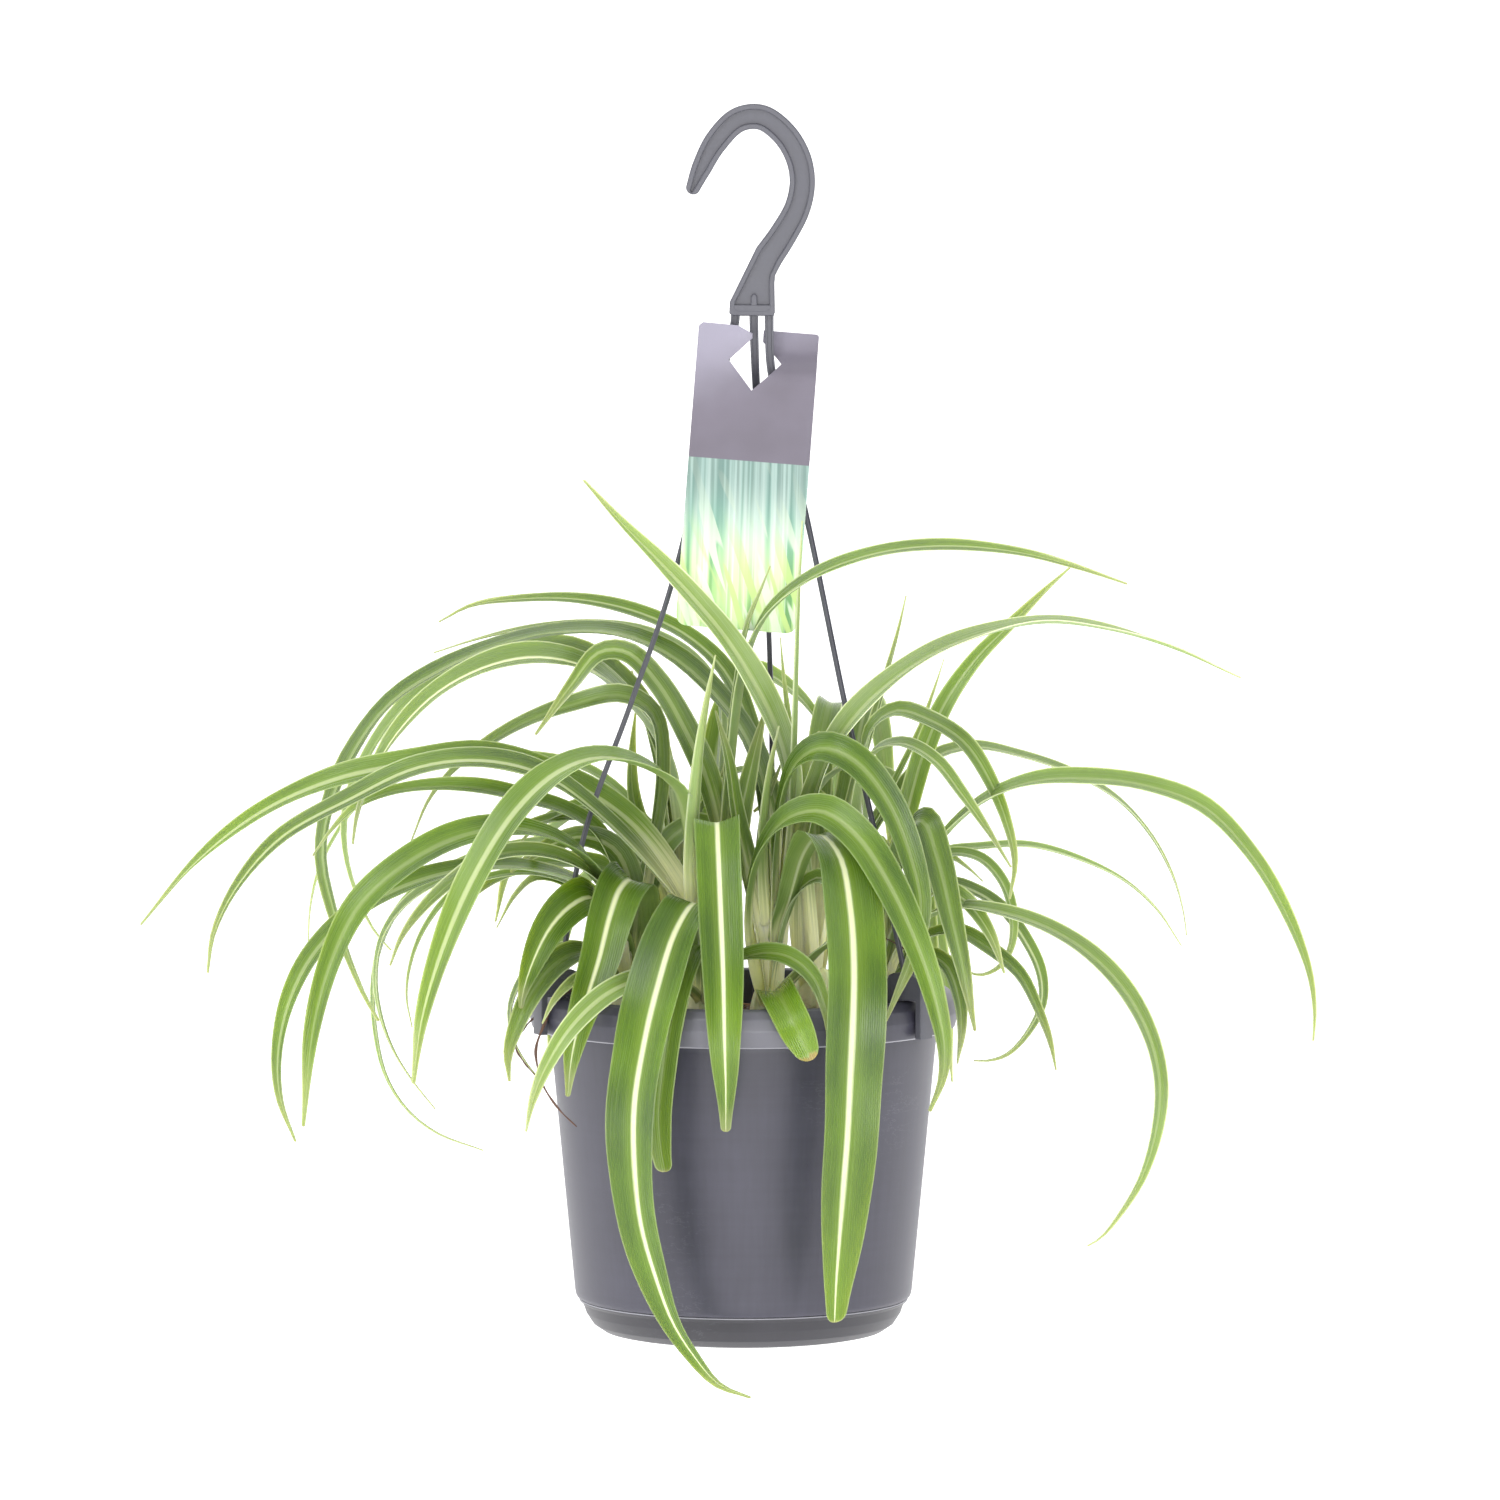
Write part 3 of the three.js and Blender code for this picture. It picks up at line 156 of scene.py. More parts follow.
# ---- the blades of each crown: width, how far the upper side is turned to the front at the root,
# the middle and the tip (degrees), shape, and the route from root to tip ----
BLADES = {
    "front_left": [
      [17, [5, 20, 55], STRAP, [[-19, 150, -26], [-21, 185, -32], [-27, 215, -40], [-42, 225, -50],
        [-58, 227, -58], [-74, 221, -67], [-90, 206, -77], [-106, 181, -87], [-119, 151, -95],
        [-127, 124, -100], [-130.5, 98, -102]]],
      [16, [30, 38, 30], STRAP, [[-19, 160, -22], [-28, 180, -20], [-45, 202, -12], [-68, 217, -10],
        [-100, 227, -13], [-130, 225, -18], [-160, 219, -19], [-190, 206, -17], [-217, 185, -14],
        [-238, 161, -12]]],
      [14, [0, 30, 40], STRAP, [[-20, 158, -24], [-32, 178, -31], [-55, 203, -37], [-78, 220, -39],
        [-102, 226, -40], [-128, 223.5, -40], [-155, 211, -41], [-182, 196, -42], [-200, 176, -43],
        [-209, 158, -44], [-211.5, 142, -45]]],
      [12, [0, 50, 60], STRAP, [[-12, 165, -16], [-9, 190, -10], [-14, 217, -8], [-23, 238, -8],
        [-34, 257, -10], [-46, 269, -14], [-57, 269, -18], [-68, 256, -24], [-82, 236.5, -32]]],
      [7, [40, 40, 40], STRAP, [[-19, 165, -32], [-20.5, 185, -40], [-19.5, 205, -44], [-17, 232, -44],
        [-14, 252, -42], [-11, 268, -40]]],
      [17.5, [0, 0, 0], POINTED, [[-14, 160, -30], [-11, 190, -42], [-10.5, 202, -56], [-10, 190, -68],
        [-9, 165, -80], [-8, 140, -90], [-7.5, 115, -94], [-7, 95, -93], [-7, 79, -91]]],
      [24, [0, 8, 10], THREAD, [[-17, 150, -36], [-19, 170, -56], [-27, 158, -70], [-34, 136, -82],
        [-39, 115, -88], [-43, 90, -90], [-43, 65, -90], [-40.5, 42, -89], [-35, 22, -88], [-28, 3, -87],
        [-20, -10, -86], [-10, -21.5, -85], [3, -27, -83]]],
      [11, [0, 10, 10], ROUNDED, [[-15, 142, -40], [-18, 153, -58], [-24, 142, -76], [-29, 122, -87],
        [-32, 102, -88], [-33.5, 85, -87], [-32.5, 72, -85], [-31, 63, -84]]],
      [9, [0, 45, 60], STRAP, [[-12, 136, -28], [-4, 146, -42], [8, 150, -54], [19, 148, -64],
        [28, 140, -72], [33, 126, -80], [34, 112, -83]]],
      [11, [0, 20, 25], STRAP, [[-11, 160, -18], [-7, 190, -14], [-5, 215, -14], [-2, 245, -16],
        [2, 268, -25], [10, 285, -39], [26, 298, -50], [52, 308, -68], [80, 311, -82], [108, 308.5, -94],
        [130, 303, -102], [151, 296, -108]]],
      [8, [0, 30, 40], STRAP, [[-12, 165, -14], [-9, 190, -10], [-6, 218, -10], [-4, 240, -13],
        [-2, 258, -20], [0, 272, -27], [3, 284, -32], [7, 294, -36], [10.5, 303, -39]]],
      [10, [0, 30, 45], STRAP, [[-20, 133, -30], [-32, 140, -52], [-44, 138.5, -69], [-57, 131.5, -84],
        [-69, 119.5, -93], [-78, 105, -98], [-83.5, 91, -100], [-86, 79, -101]]],
      [10, [60, 60, 60], STRAP, [[-11, 155, -21], [-5, 182, -15], [-1, 205, -12.5], [4, 228, -8],
        [9, 248, -4]]],
    ],
    "front_right": [
      [16, [60, 68, 65], STRAP, [[13, 165, -18], [17, 200, -18], [17, 222, -20], [12, 241, -28],
        [3, 259, -38], [-8, 276, -43], [-20, 290.5, -47], [-33, 304.5, -50], [-47, 319, -54],
        [-63, 337, -60]]],
      [6, [0, 30, 30], STRAP, [[16, 165, -20], [19, 200, -24], [20.5, 235, -28], [21, 262, -31],
        [21.7, 285, -34], [22.3, 303, -36], [23, 321, -37]]],
      [4, [0, 30, 30], STRAP, [[15, 170, -12], [19, 210, -10], [18, 240, -9], [16, 258, -8],
        [14.5, 275, -8]]],
      [10, [0, 18, 20], STRAP, [[11, 170, -10], [8, 210, 4], [2, 240, 12], [-7, 261, 16], [-22, 275.5, 18],
        [-42, 285, 20], [-66, 290, 22], [-90, 290, 24], [-107, 287.5, 25], [-120, 281, 26]]],
      [16, [20, 8, 55], STRAP, [[12, 165, -8], [11, 205, 0], [1, 235, 3], [-12, 253, 5], [-28, 267, 8],
        [-48, 276, 14], [-70, 277, 20], [-95, 272, 22], [-119, 262, 21], [-140, 248, 22], [-154, 229, 22],
        [-163, 208, 23], [-166, 188, 24], [-162, 168, 24], [-156, 149, 24], [-150, 134, 24],
        [-144, 123, 24]]],
      [17, [60, 28, -12], STRAP, [[14, 160, -16], [21, 185, -18], [28, 212, -26], [36, 232, -37],
        [50, 250, -47], [70, 265.5, -50], [92, 275.5, -50], [118, 281, -54], [145, 278, -58],
        [170, 270.5, -61], [196, 259, -64]]],
      [15, [45, 55, 70], STRAP, [[5, 150, -30], [3, 170, -38], [7, 190, -46], [17, 203, -54], [31, 206, -62],
        [45, 196, -70], [57, 178, -76], [67, 157, -81], [75, 134, -84], [79.5, 112, -85], [78.5, 100, -85],
        [73.5, 87, -84]]],
      [14, [45, 50, 50], STRAP, [[13, 165, -26], [14, 200, -32], [20, 224, -41], [31, 231, -50],
        [44, 226, -55], [57, 210, -58], [66, 188, -60], [70, 168, -63], [67, 150, -65], [61, 135, -67],
        [56, 123, -69]]],
      [25, [0, 8, 0], STALKED, [[13, 155, -28], [18, 172, -34], [23.5, 190, -44], [30, 197, -56],
        [38, 188, -68], [42, 168, -78], [43.5, 145, -86], [43, 120, -90], [42, 98, -90], [41, 78, -90],
        [39.5, 58, -89], [38, 38, -88], [36.7, 20, -87], [36, 3, -86]]],
      [14, [0, 25, 30], ROUNDED, [[12, 133, -40], [13, 135, -62], [15, 132, -80], [20, 122, -91],
        [27, 107.5, -93]]],
      [9, [0, 30, 40], STRAP, [[15, 133, -34], [22, 141, -42], [32, 152, -52], [42, 157, -62],
        [48, 150, -68], [51, 138, -71]]],
      [9, [60, 60, 60], STRAP, [[6, 150, -14], [5, 180, -6], [8, 208, 0], [16, 228, 4]]],
      [10, [40, 50, 50], STRAP, [[14, 150, -28], [20, 172, -30], [30, 180, -34], [42, 172, -40],
        [52, 156, -46]]],
      [11, [60, 60, 60], STRAP, [[7, 155, -30], [2, 180, -30], [-3, 205, -28], [-6, 226, -24],
        [-11, 246, -18]]],
      [9, [60, 60, 60], STRAP, [[11, 155, -26], [9, 182, -30], [9, 205, -32], [11, 224, -33],
        [14, 240, -34]]],
    ],
    "right": [
      [12, [0, 28, 32], STRAP, [[58, 150, -12], [66, 175, -16], [78, 195, -22], [95, 210.5, -29],
        [115, 218, -36], [138, 219, -42], [160, 216, -48], [182, 207.5, -54], [200, 189, -59],
        [214, 166, -63], [223, 143, -66], [225.5, 126, -67], [225, 115, -68]]],
      [7, [0, 20, 20], STRAP, [[58, 150, -4], [66, 175, 2], [78, 189, 8], [95, 192, 14], [113, 192.5, 20],
        [132, 187.5, 26], [150, 179, 31], [163, 167.5, 35], [173, 153, 38]]],
      [8, [0, 30, 40], STRAP, [[58, 150, -10], [66, 178, -10], [80, 189, -11], [93, 187.5, -13],
        [102, 178, -15], [106, 165, -17], [105.5, 153, -18], [101, 145, -19], [94, 141.5, -20],
        [87, 143, -20]]],
      [8, [0, 30, 30], STRAP, [[58, 148, -6], [68, 178, 3], [80, 188, 8], [88, 184, 12],
        [94.5, 178.5, 15]]],
      [9, [0, 30, 30], STRAP, [[60, 145, -6], [68, 165, -5], [80, 177, -5], [92, 174, -6], [102, 167, -7],
        [111, 155, -9], [117, 142, -10], [117.5, 130, -11], [112, 118.5, -12], [104, 110, -13],
        [97, 107.5, -13], [91, 107.3, -14]]],
      [10, [0, 25, 28], STRAP, [[60, 145, -18], [68, 160, -26], [82, 168, -34], [100, 166.5, -42],
        [120, 160, -50], [138, 148.5, -57], [152, 133, -62], [161, 115, -65], [164.5, 97, -67],
        [163, 79, -68], [157.5, 61, -68], [149, 46.5, -67], [141.5, 37, -66], [136, 33.5, -65]]],
      [8, [0, 35, 35], STRAP, [[60, 142, -12], [70, 155, -18], [84, 158.5, -22], [98, 151, -26],
        [109, 141.5, -29], [116, 128, -32], [121, 115, -34], [123.5, 103.5, -35]]],
      [13, [0, 35, 45], STRAP, [[56, 150, -14], [60, 180, -22], [65, 200, -32], [71, 202, -40],
        [77, 186, -46], [82, 165, -50], [87, 143, -53], [91.5, 119, -55]]],
      [8, [0, 30, 30], STRAP, [[62, 142, -12], [72, 149, -18], [80, 145, -22], [85, 132, -26],
        [86, 120, -28], [84.5, 106, -29]]],
      [10, [0, 30, 40], STRAP, [[53, 150, -2], [50, 185, 2], [48, 215, 0], [50, 238, -4], [60, 246, -8],
        [74, 242, -14], [87, 233.5, -20], [97, 218.5, -26], [104, 201, -31], [107, 186, -35],
        [105, 171.5, -38]]],
      [11, [0, 35, 40], STRAP, [[52, 150, -10], [47, 185, -14], [46, 212, -18], [51, 229, -23],
        [62, 233, -29], [75, 226.5, -35], [86, 213, -41], [96, 199, -46], [105.5, 184, -50]]],
      [9, [0, 40, 40], STRAP, [[55, 150, 2], [58, 180, 10], [65, 208, 14], [72, 232, 18], [80, 250, 22],
        [92, 267, 27], [106, 281, 32], [118, 293, 36], [128.5, 302.5, 39]]],
      [11, [0, 45, 45], STRAP, [[46, 150, 4], [40, 180, 8], [36, 200, 8], [28, 212, 8], [16, 214, 8],
        [4, 206, 10]]],
      [10, [0, 40, 40], STRAP, [[50, 145, 0], [44, 165, 0], [40, 182, -2], [44, 194, -6], [54, 194, -12],
        [62, 180, -18]]],
      [10, [20, 40, 45], STRAP, [[58, 148, -14], [64, 168, -20], [74, 176, -26], [86, 172, -32],
        [97, 158, -38], [103, 142, -42]]],
    ],
    "left": [
      [15, [5, 28, 40], STRAP, [[-50, 152, -16], [-54, 172, -26], [-64, 189, -38], [-88, 199, -54],
        [-112, 196, -66], [-135, 184, -75], [-152, 168, -81], [-163, 146, -86], [-170, 120, -89],
        [-174, 81, -91]]],
      [11, [0, 25, 40], STRAP, [[-48, 150, -14], [-53, 170, -28], [-64, 184, -39], [-82, 190, -45],
        [-100, 188, -48], [-114, 179, -50], [-126, 168, -52], [-135, 156, -53], [-139.5, 145, -54]]],
      [19, [0, 35, 30], STRAP, [[-44, 150, -14], [-42, 168, -22], [-44, 179, -32], [-49, 175, -44],
        [-53, 164, -53], [-57, 148, -60], [-61, 135, -65], [-65, 122, -68], [-68, 108, -70],
        [-69.5, 93, -70]]],
      [18, [0, 35, 40], STRAP, [[-50, 145, -12], [-54, 162, -22], [-60, 172, -34], [-69, 168, -44],
        [-77, 159, -52], [-83, 147, -58], [-87, 135, -61], [-88, 128, -62]]],
      [11, [0, 35, 40], STRAP, [[-52, 138, -14], [-58, 148, -26], [-66, 150, -38], [-75, 145, -48],
        [-83, 135, -56], [-89, 123, -62], [-93, 110, -66], [-92.5, 99, -68]]],
      [7, [0, 30, 30], STRAP, [[-54, 142, 4], [-66, 152, 10], [-78, 149, 14], [-87, 140, 17],
        [-92, 128, 19], [-91, 116, 20], [-87, 108, 20], [-81, 100, 19]]],
      [6, [0, 30, 30], STRAP, [[-52, 136, -18], [-58, 141, -36], [-67, 139, -51], [-75, 131, -60],
        [-79.5, 122, -63]]],
      [14, [0, 28, 30], STRAP, [[-49, 150, -6], [-55, 168, -6], [-66, 178, -7], [-82, 183, -10],
        [-100, 184, -15], [-118, 181.5, -21], [-135, 176, -27], [-150, 168, -32], [-163, 157.5, -37],
        [-173, 144.5, -41], [-180.5, 127, -44], [-184, 108, -46], [-183, 92, -47], [-177, 75, -48]]],
      [12, [0, 22, 25], STRAP, [[-48, 155, -4], [-50, 180, 2], [-58, 198, 4], [-70, 206, 4], [-85, 211, 3],
        [-102, 215, 2], [-120, 216, 2], [-138, 214, 3], [-152, 208.5, 4], [-162, 199, 5],
        [-170, 188.5, 6]]],
      [11, [0, 8, 10], STRAP, [[-43, 155, -2], [-37, 190, -3], [-33, 222, -3], [-36, 245, -4],
        [-48, 252, -7], [-68, 248, -5], [-88, 240.5, 4], [-103, 231.5, 10], [-115, 221.5, 17],
        [-124, 210.5, 20], [-131, 194.5, 22]]],
      [9, [0, 25, 30], STRAP, [[-50, 150, 4], [-58, 172, 12], [-76, 182, 20], [-98, 184, 28],
        [-118, 179, 34], [-133, 169.5, 38], [-142, 157, 41], [-145, 141, 43], [-143, 125, 44],
        [-138, 111, 44], [-131, 99.5, 44], [-122, 88, 43]]],
      [6, [0, 25, 30], STRAP, [[-50, 150, -2], [-60, 172, 0], [-78, 181, 4], [-98, 180.5, 6],
        [-114, 174, 7], [-125, 161, 8], [-131, 147, 8], [-133, 133, 8], [-131, 120.5, 8]]],
      [6, [0, 25, 30], STRAP, [[-50, 145, 6], [-58, 165, 12], [-70, 178, 17], [-82, 180, 20],
        [-90, 173, 22], [-95, 164.5, 23], [-97.5, 160, 23]]],
      [11, [0, 40, 45], STRAP, [[-42, 150, 1], [-38, 176, 5], [-30, 194, 7], [-18, 202, 9], [-6, 198, 11],
        [4, 188, 13]]],
      [12, [0, 40, 45], STRAP, [[-44, 148, -4], [-44, 172, 0], [-50, 190, 2], [-62, 196, 2], [-78, 192, 0],
        [-92, 182, -2]]],
    ],
    "back_left": [
      [10, [0, 15, 15], STRAP, [[-18, 180, 32], [-10, 225, 30], [-10, 252, 30], [-20, 267, 30],
        [-38, 277, 31], [-60, 280.5, 32], [-82, 279, 34], [-104, 274.5, 36], [-122, 269, 38]]],
      [13, [0, 35, 45], STRAP, [[-26, 160, 30], [-28, 195, 27], [-33, 230, 28], [-46, 256, 33],
        [-66, 270, 38], [-90, 270, 42], [-115, 261, 46], [-136, 245, 49], [-150, 224, 52],
        [-156.5, 204, 54], [-156, 187, 55], [-151, 170, 56], [-145, 158, 56], [-139, 151, 56]]],
      [20, [0, 22, 25], STRAP, [[-24, 160, 30], [-27, 200, 22], [-33, 232, 17], [-46, 250, 13],
        [-62, 263, 4], [-82, 267, -2], [-102, 263, -4], [-122, 252, -2], [-138, 235, -3], [-147, 219, -3],
        [-152, 205, -3], [-154, 193, -3]]],
      [12, [0, 30, 40], STRAP, [[-16, 170, 42], [-12, 220, 52], [-5, 250, 60], [6, 261, 66], [18, 255, 72],
        [28, 244, 79], [36, 228, 86], [42, 205, 92]]],
      [7, [30, 30, 30], STRAP, [[-25, 160, 30], [-28, 190, 33], [-32, 215, 35], [-36, 233, 37],
        [-40, 248, 38], [-44, 262, 39]]],
      [8, [30, 30, 30], STRAP, [[-28, 160, 34], [-37, 190, 40], [-43.5, 212, 44], [-44, 230, 46],
        [-42.5, 246, 47]]],
      [13, [0, 30, 35], STRAP, [[-26, 160, 28], [-34, 185, 22], [-48, 200, 18], [-65, 204, 15],
        [-82, 201.5, 13], [-98, 194, 12]]],
      [8, [0, 25, 30], STRAP, [[-28, 160, 38], [-44, 185, 46], [-66, 194, 52], [-92, 192, 58],
        [-115, 184, 63], [-132, 172, 67], [-142, 156, 69], [-146, 138, 70], [-145, 118, 70],
        [-141, 101, 70], [-133, 88, 69], [-121, 78.5, 68], [-103, 71.5, 66]]],
      [7, [0, 25, 30], STRAP, [[-27, 160, 40], [-38, 200, 50], [-60, 222, 58], [-88, 228, 66],
        [-114, 227, 72], [-135, 221, 77], [-150, 211, 80], [-160, 198, 82], [-167, 184, 83],
        [-171, 168, 84], [-172, 150, 84]]],
      [12, [0, 40, 45], STRAP, [[-26, 160, 24], [-30, 188, 20], [-42, 203, 18], [-58, 209, 16],
        [-76, 204, 16], [-90, 192, 18]]],
      [12, [0, 35, 40], STRAP, [[-30, 150, 32], [-40, 172, 30], [-56, 184, 31], [-76, 186, 31],
        [-96, 180, 33], [-112, 168, 32]]],
      [11, [0, 40, 45], STRAP, [[-20, 155, 22], [-22, 190, 18], [-14, 212, 14], [-2, 222, 12],
        [12, 218, 12], [24, 205, 14]]],
      [10, [30, 40, 40], STRAP, [[-14, 150, 24], [-12, 180, 20], [-10, 210, 18], [-6, 232, 18]]],
    ],
    "back_right": [
      [8, [0, 30, 30], STRAP, [[34, 170, 32], [44, 215, 32], [51, 240, 33], [57, 262, 35], [61, 277, 37],
        [64, 291.5, 39]]],
      [4, [0, 30, 30], STRAP, [[40, 180, 42], [58, 215, 50], [70, 240, 54], [75, 254, 56],
        [79, 266.5, 58]]],
      [9, [0, 20, 25], STRAP, [[36, 160, 42], [52, 200, 50], [73, 226, 58], [90, 231.5, 64], [110, 228, 71],
        [130, 221, 78], [148, 210.5, 85], [161, 196, 90], [170, 179, 94], [174, 165, 96], [175, 157, 97]]],
      [11, [0, 10, 10], STRAP, [[28, 170, 40], [29, 205, 44], [31, 235, 52], [34, 249, 66], [36, 244, 84],
        [37, 225, 104], [38, 195, 118], [38, 165, 126]]],
      [11, [0, 10, 10], STRAP, [[34, 170, 42], [42, 215, 46], [47, 243, 55], [50, 250, 70], [54, 238, 90],
        [57, 210, 108], [59, 180, 118]]],
      [12, [0, 45, 50], STRAP, [[24, 155, 24], [24, 190, 20], [30, 215, 16], [42, 224, 12], [56, 214, 8],
        [64, 196, 4]]],
      [12, [20, 45, 45], STRAP, [[26, 150, 25], [24, 175, 21], [22, 200, 19], [24, 222, 19],
        [30, 238, 21]]],
    ],
}

# The blades that only show from behind follow one rule: each crown's share spreads round the back, from
# one bearing to another (degrees, 90 is straight back), in arches of varied reach and height.
BACK_BLADES = {
    "back_left": {"count": 6, "from": 92, "to": 140, "seed": 11},
    "back_right": {"count": 6, "from": 88, "to": 44, "seed": 29},
}
DRAW_FACTOR = 16807
DRAW_RANGE = 2147483647
BACK_REACH = [58, 120]
BACK_RISE = [48, 96]
BACK_WIDTH = [9, 15]
BACK_DROP = [20, 95]
BACK_ARCH = [[0.1, 0.4], [0.26, 0.78], [0.52, 1], [0.78, 0.86]]  # shares of the reach and of the rise

# ---- how a blade is made ----
PLACES = np.array([-1, -0.66, -0.3, 0, 0.3, 0.66, 1])  # across a blade, in half widths
TIP_ROUND = 1.1  # how far back a blunt tip's rounding starts, in half widths of the tip
TIP_STATIONS = [0.85, 0.6, 0.36, 0.18, 0.07, 0.02]  # shares of that, where rows are added
BLUNT_END = 0.6  # a tip with a half width above this is rounded
LEAST_HALF = 0.16
LONG_BLADE = 130  # a blade longer than this has a row at every step
ROOT_SPREAD = 0.12  # how far towards its first point a blade's root stands off its crown's middle
FOOT_FOLD = 0.3  # how deeply a blade is folded at its foot
FOLD_SPAN = [10, 70]  # the distances from its root between which the fold gets shallow
EDGE_THICKNESS = 0.3
RIPPLE_STARTS = [0, 6.28]
RIPPLE_LENGTH = 8.5
RIPPLE_SHARE = 0.016

# ---- how a blade looks: its stripe in half widths, its marks, tone, and its waxy bloom with painted sheen from 0 to 1 ----
STRIPE_WIDTHS = [0.1, 0.17]
STRIPE_STRENGTHS = [0.05, 0.5]
BOLD_WIDTH = 17.2  # blades wider than this have a middle tone and one crisp stripe
BOLD_STRIPE = 0.085
BOLD_TONE = 0.38
BOLD_TONE_SPREAD = 0.28
FOOT_SHARE = 0.6  # how much of the way up to its arch a blade is pale
FOOT_LENGTHS = [16, 96]
LEAST_BLOOM_AND_SHEEN = 0.04
SLIM_WIDTH = 13.5  # slimmer blades, and those that rise above HIGH_UP, get more pale bloom; high up it is a painted sheen of the light from above
HIGH_UP = 240
SLIM_BLOOM_AND_SHEEN = [0.14, 0.38]
PLAIN_MARK, PLAIN_BLOOM_AND_SHEEN = 0.3, 0.6
DRY_TONE, DRY_LENGTH = 0.9, 2.4
BLADE_VALUES = ["across", "distance", "to_tip", "half_width", "stripe", "tone", "mark", "foot", "bloom_and_sheen"]

# Blades that look unlike the rest of their crown, by their place in its list.
BLADE_LOOKS = {"front_right": {0: "plain and pale", 5: "plain and pale", 9: "dry at its end"}}

# Withered bits of old leaf, each with its radius and the way that it hangs.
DRY_STRANDS = [
    [0.55, [[-66, 136, -40], [-74, 131, -52], [-79, 121, -60], [-82, 112, -62], [-81, 103, -60],
            [-79, 97, -58], [-73, 88, -55], [-66, 81, -52]]],
    [0.4, [[-78, 128, -20], [-86, 121, -24], [-90, 113, -26], [-87, 107, -26], [-82, 101, -25]]],
    [0.35, [[44, 160, -30], [56, 156, -34], [68, 147, -40], [66, 140, -42], [60, 131, -44], [55, 122, -45]]],
]

# ---- hanger ----
# The hook's middle line, each point with the hook's width there, and the block below it.
HOOK_LINE = [
    [-19.8, 451.8, 5.6], [-16.5, 459.4, 7.9], [-10.8, 469.8, 9.4], [-2.1, 478.4, 9.8], [7, 479.4, 9.9],
    [15.8, 473.1, 9.9], [21.4, 463.8, 10], [23.1, 454, 10], [21.2, 444, 10.2], [15.9, 434, 10.8],
    [9.9, 425.1, 11.6],
]
HOOK_BLOCK = [
    [-5.4, 407], [-5.6, 402.6], [-4.2, HEAD_BOTTOM], [11.3, HEAD_BOTTOM], [12.4, 402.8],
    [12.2, 414.5], [12.5, 417.6],
]
HOOK_BLOCK_MIDDLE = 3.6

# Each arm runs from its place along the hook's block to the rim, at a bearing round the pot in degrees.
ARMS = {
    "left": {
        "head": -3.3,
        "bearing": -156,
        "route": [[-7.3, 383, -1.2], [-28.8, 294, -13.4], [-44.5, 248.5, -19], [-63, 196, -26]],
    },
    "right": {
        "head": 10.1,
        "bearing": -36,
        "route": [[10.6, 383, -1.2], [12.6, 372, -3], [24.8, 322.4, -12.5], [40.7, 245.4, -28],
                  [50.4, 204, -38]],
    },
    "back": {
        "head": 4.1,
        "bearing": 84,
        "route": [[4.6, 383, 4], [10, 277, 40], [11.2, 230.5, 54], [11, 190, 66]],
    },
}

# ---- label: places on the flat card are counted from its upper left corner, across and up ----
LABEL_CORNER_AT = [-17.4, 399.4]  # where that corner is, across and up
LABEL_REST_BACK = -8.2  # how far back the card is, at the height where it rests on the arms
LABEL_REST_HEIGHT = 373.6
LABEL_SPRUNG_BACK = 11.3  # how far the card is bent back on the right of its slit
LABEL_SPRUNG_FORWARD = 5  # and forward on the left of it
HOLE_LEFT = [12.8, -13.8]
HOLE_BOTTOM = [22.6, -25.1]
HOLE_RIGHT = [33.5, -14.2]
SLIT_LEFT = 21.4
SLIT_RIGHT = 25.6
RIGHT_TOP = -1.8
PRINT_TOP = 52.5  # down the label, where the mauve ends and the printed pattern starts


def to_row(points):
    """Millimetres counted from the saucer's underside, as the frame's metres."""
    return (np.asarray(points, float) - SADDLE) / 1000


def seen(point):
    """The true place of a route's point [across, up, back], which is written as it is seen from the front."""
    across, up, back = point
    scale = (EYE_DISTANCE + back) / EYE_DISTANCE
    return [EYE_ACROSS + (across - EYE_ACROSS) * scale, back, EYE_HEIGHT + (up - EYE_HEIGHT) * scale]


def smoothstep(value, low, high):
    """0 up to low, 1 from high on, smooth between."""
    share = np.clip((np.asarray(value, float) - low) / (high - low), 0, 1)
    return share * share * (3 - 2 * share)


def between(pair, share):
    """The number that lies a share of the way from the pair's first to its second."""
    return pair[0] + (pair[1] - pair[0]) * share


def unit(vector):
    return vector / np.linalg.norm(vector)


# ---- smooth curves through a route's points ----
def curve_at(route, places):
    """Points of the centripetal curve through the route, at places from 0 to 1."""
    route = np.asarray(route, float)
    ends = np.vstack([2 * route[0] - route[1], route, 2 * route[-1] - route[-2]])
    place = np.clip(np.asarray(places, float), 0, 1) * (len(route) - 1)
    k = np.minimum(place.astype(int), len(route) - 2)
    t = (place - k)[:, None]
    p0, p1, p2, p3 = ends[k], ends[k + 1], ends[k + 2], ends[k + 3]
    pairs = ((p0, p1), (p1, p2), (p2, p3))
    d0, d1, d2 = (np.linalg.norm(b - a, axis=1, keepdims=True) ** 0.5 for a, b in pairs)
    start = ((p1 - p0) / d0 - (p2 - p0) / (d0 + d1) + (p2 - p1) / d1) * d1
    end = ((p2 - p1) / d1 - (p3 - p1) / (d1 + d2) + (p3 - p2) / d2) * d1
    square, cube = 3 * (p2 - p1) - 2 * start - end, 2 * (p1 - p2) + start + end
    return p1 + start * t + square * t**2 + cube * t**3


def directions_at(route, places):
    """The curve's directions at places from 0 to 1."""
    ahead = curve_at(route, np.minimum(places + SMALL, 1)) - curve_at(route, np.maximum(places - SMALL, 0))
    return ahead / np.linalg.norm(ahead, axis=1, keepdims=True)


def along_curve(route, shares):
    """Points and directions at shares of the curve's length, and that length."""
    table = np.linspace(0, 1, 401)
    steps = np.linalg.norm(np.diff(curve_at(route, table), axis=0), axis=1)
    lengths = np.concatenate([[0], np.cumsum(steps)])
    places = np.interp(np.asarray(shares) * lengths[-1], lengths, table)
    return curve_at(route, places), directions_at(route, places), lengths[-1]


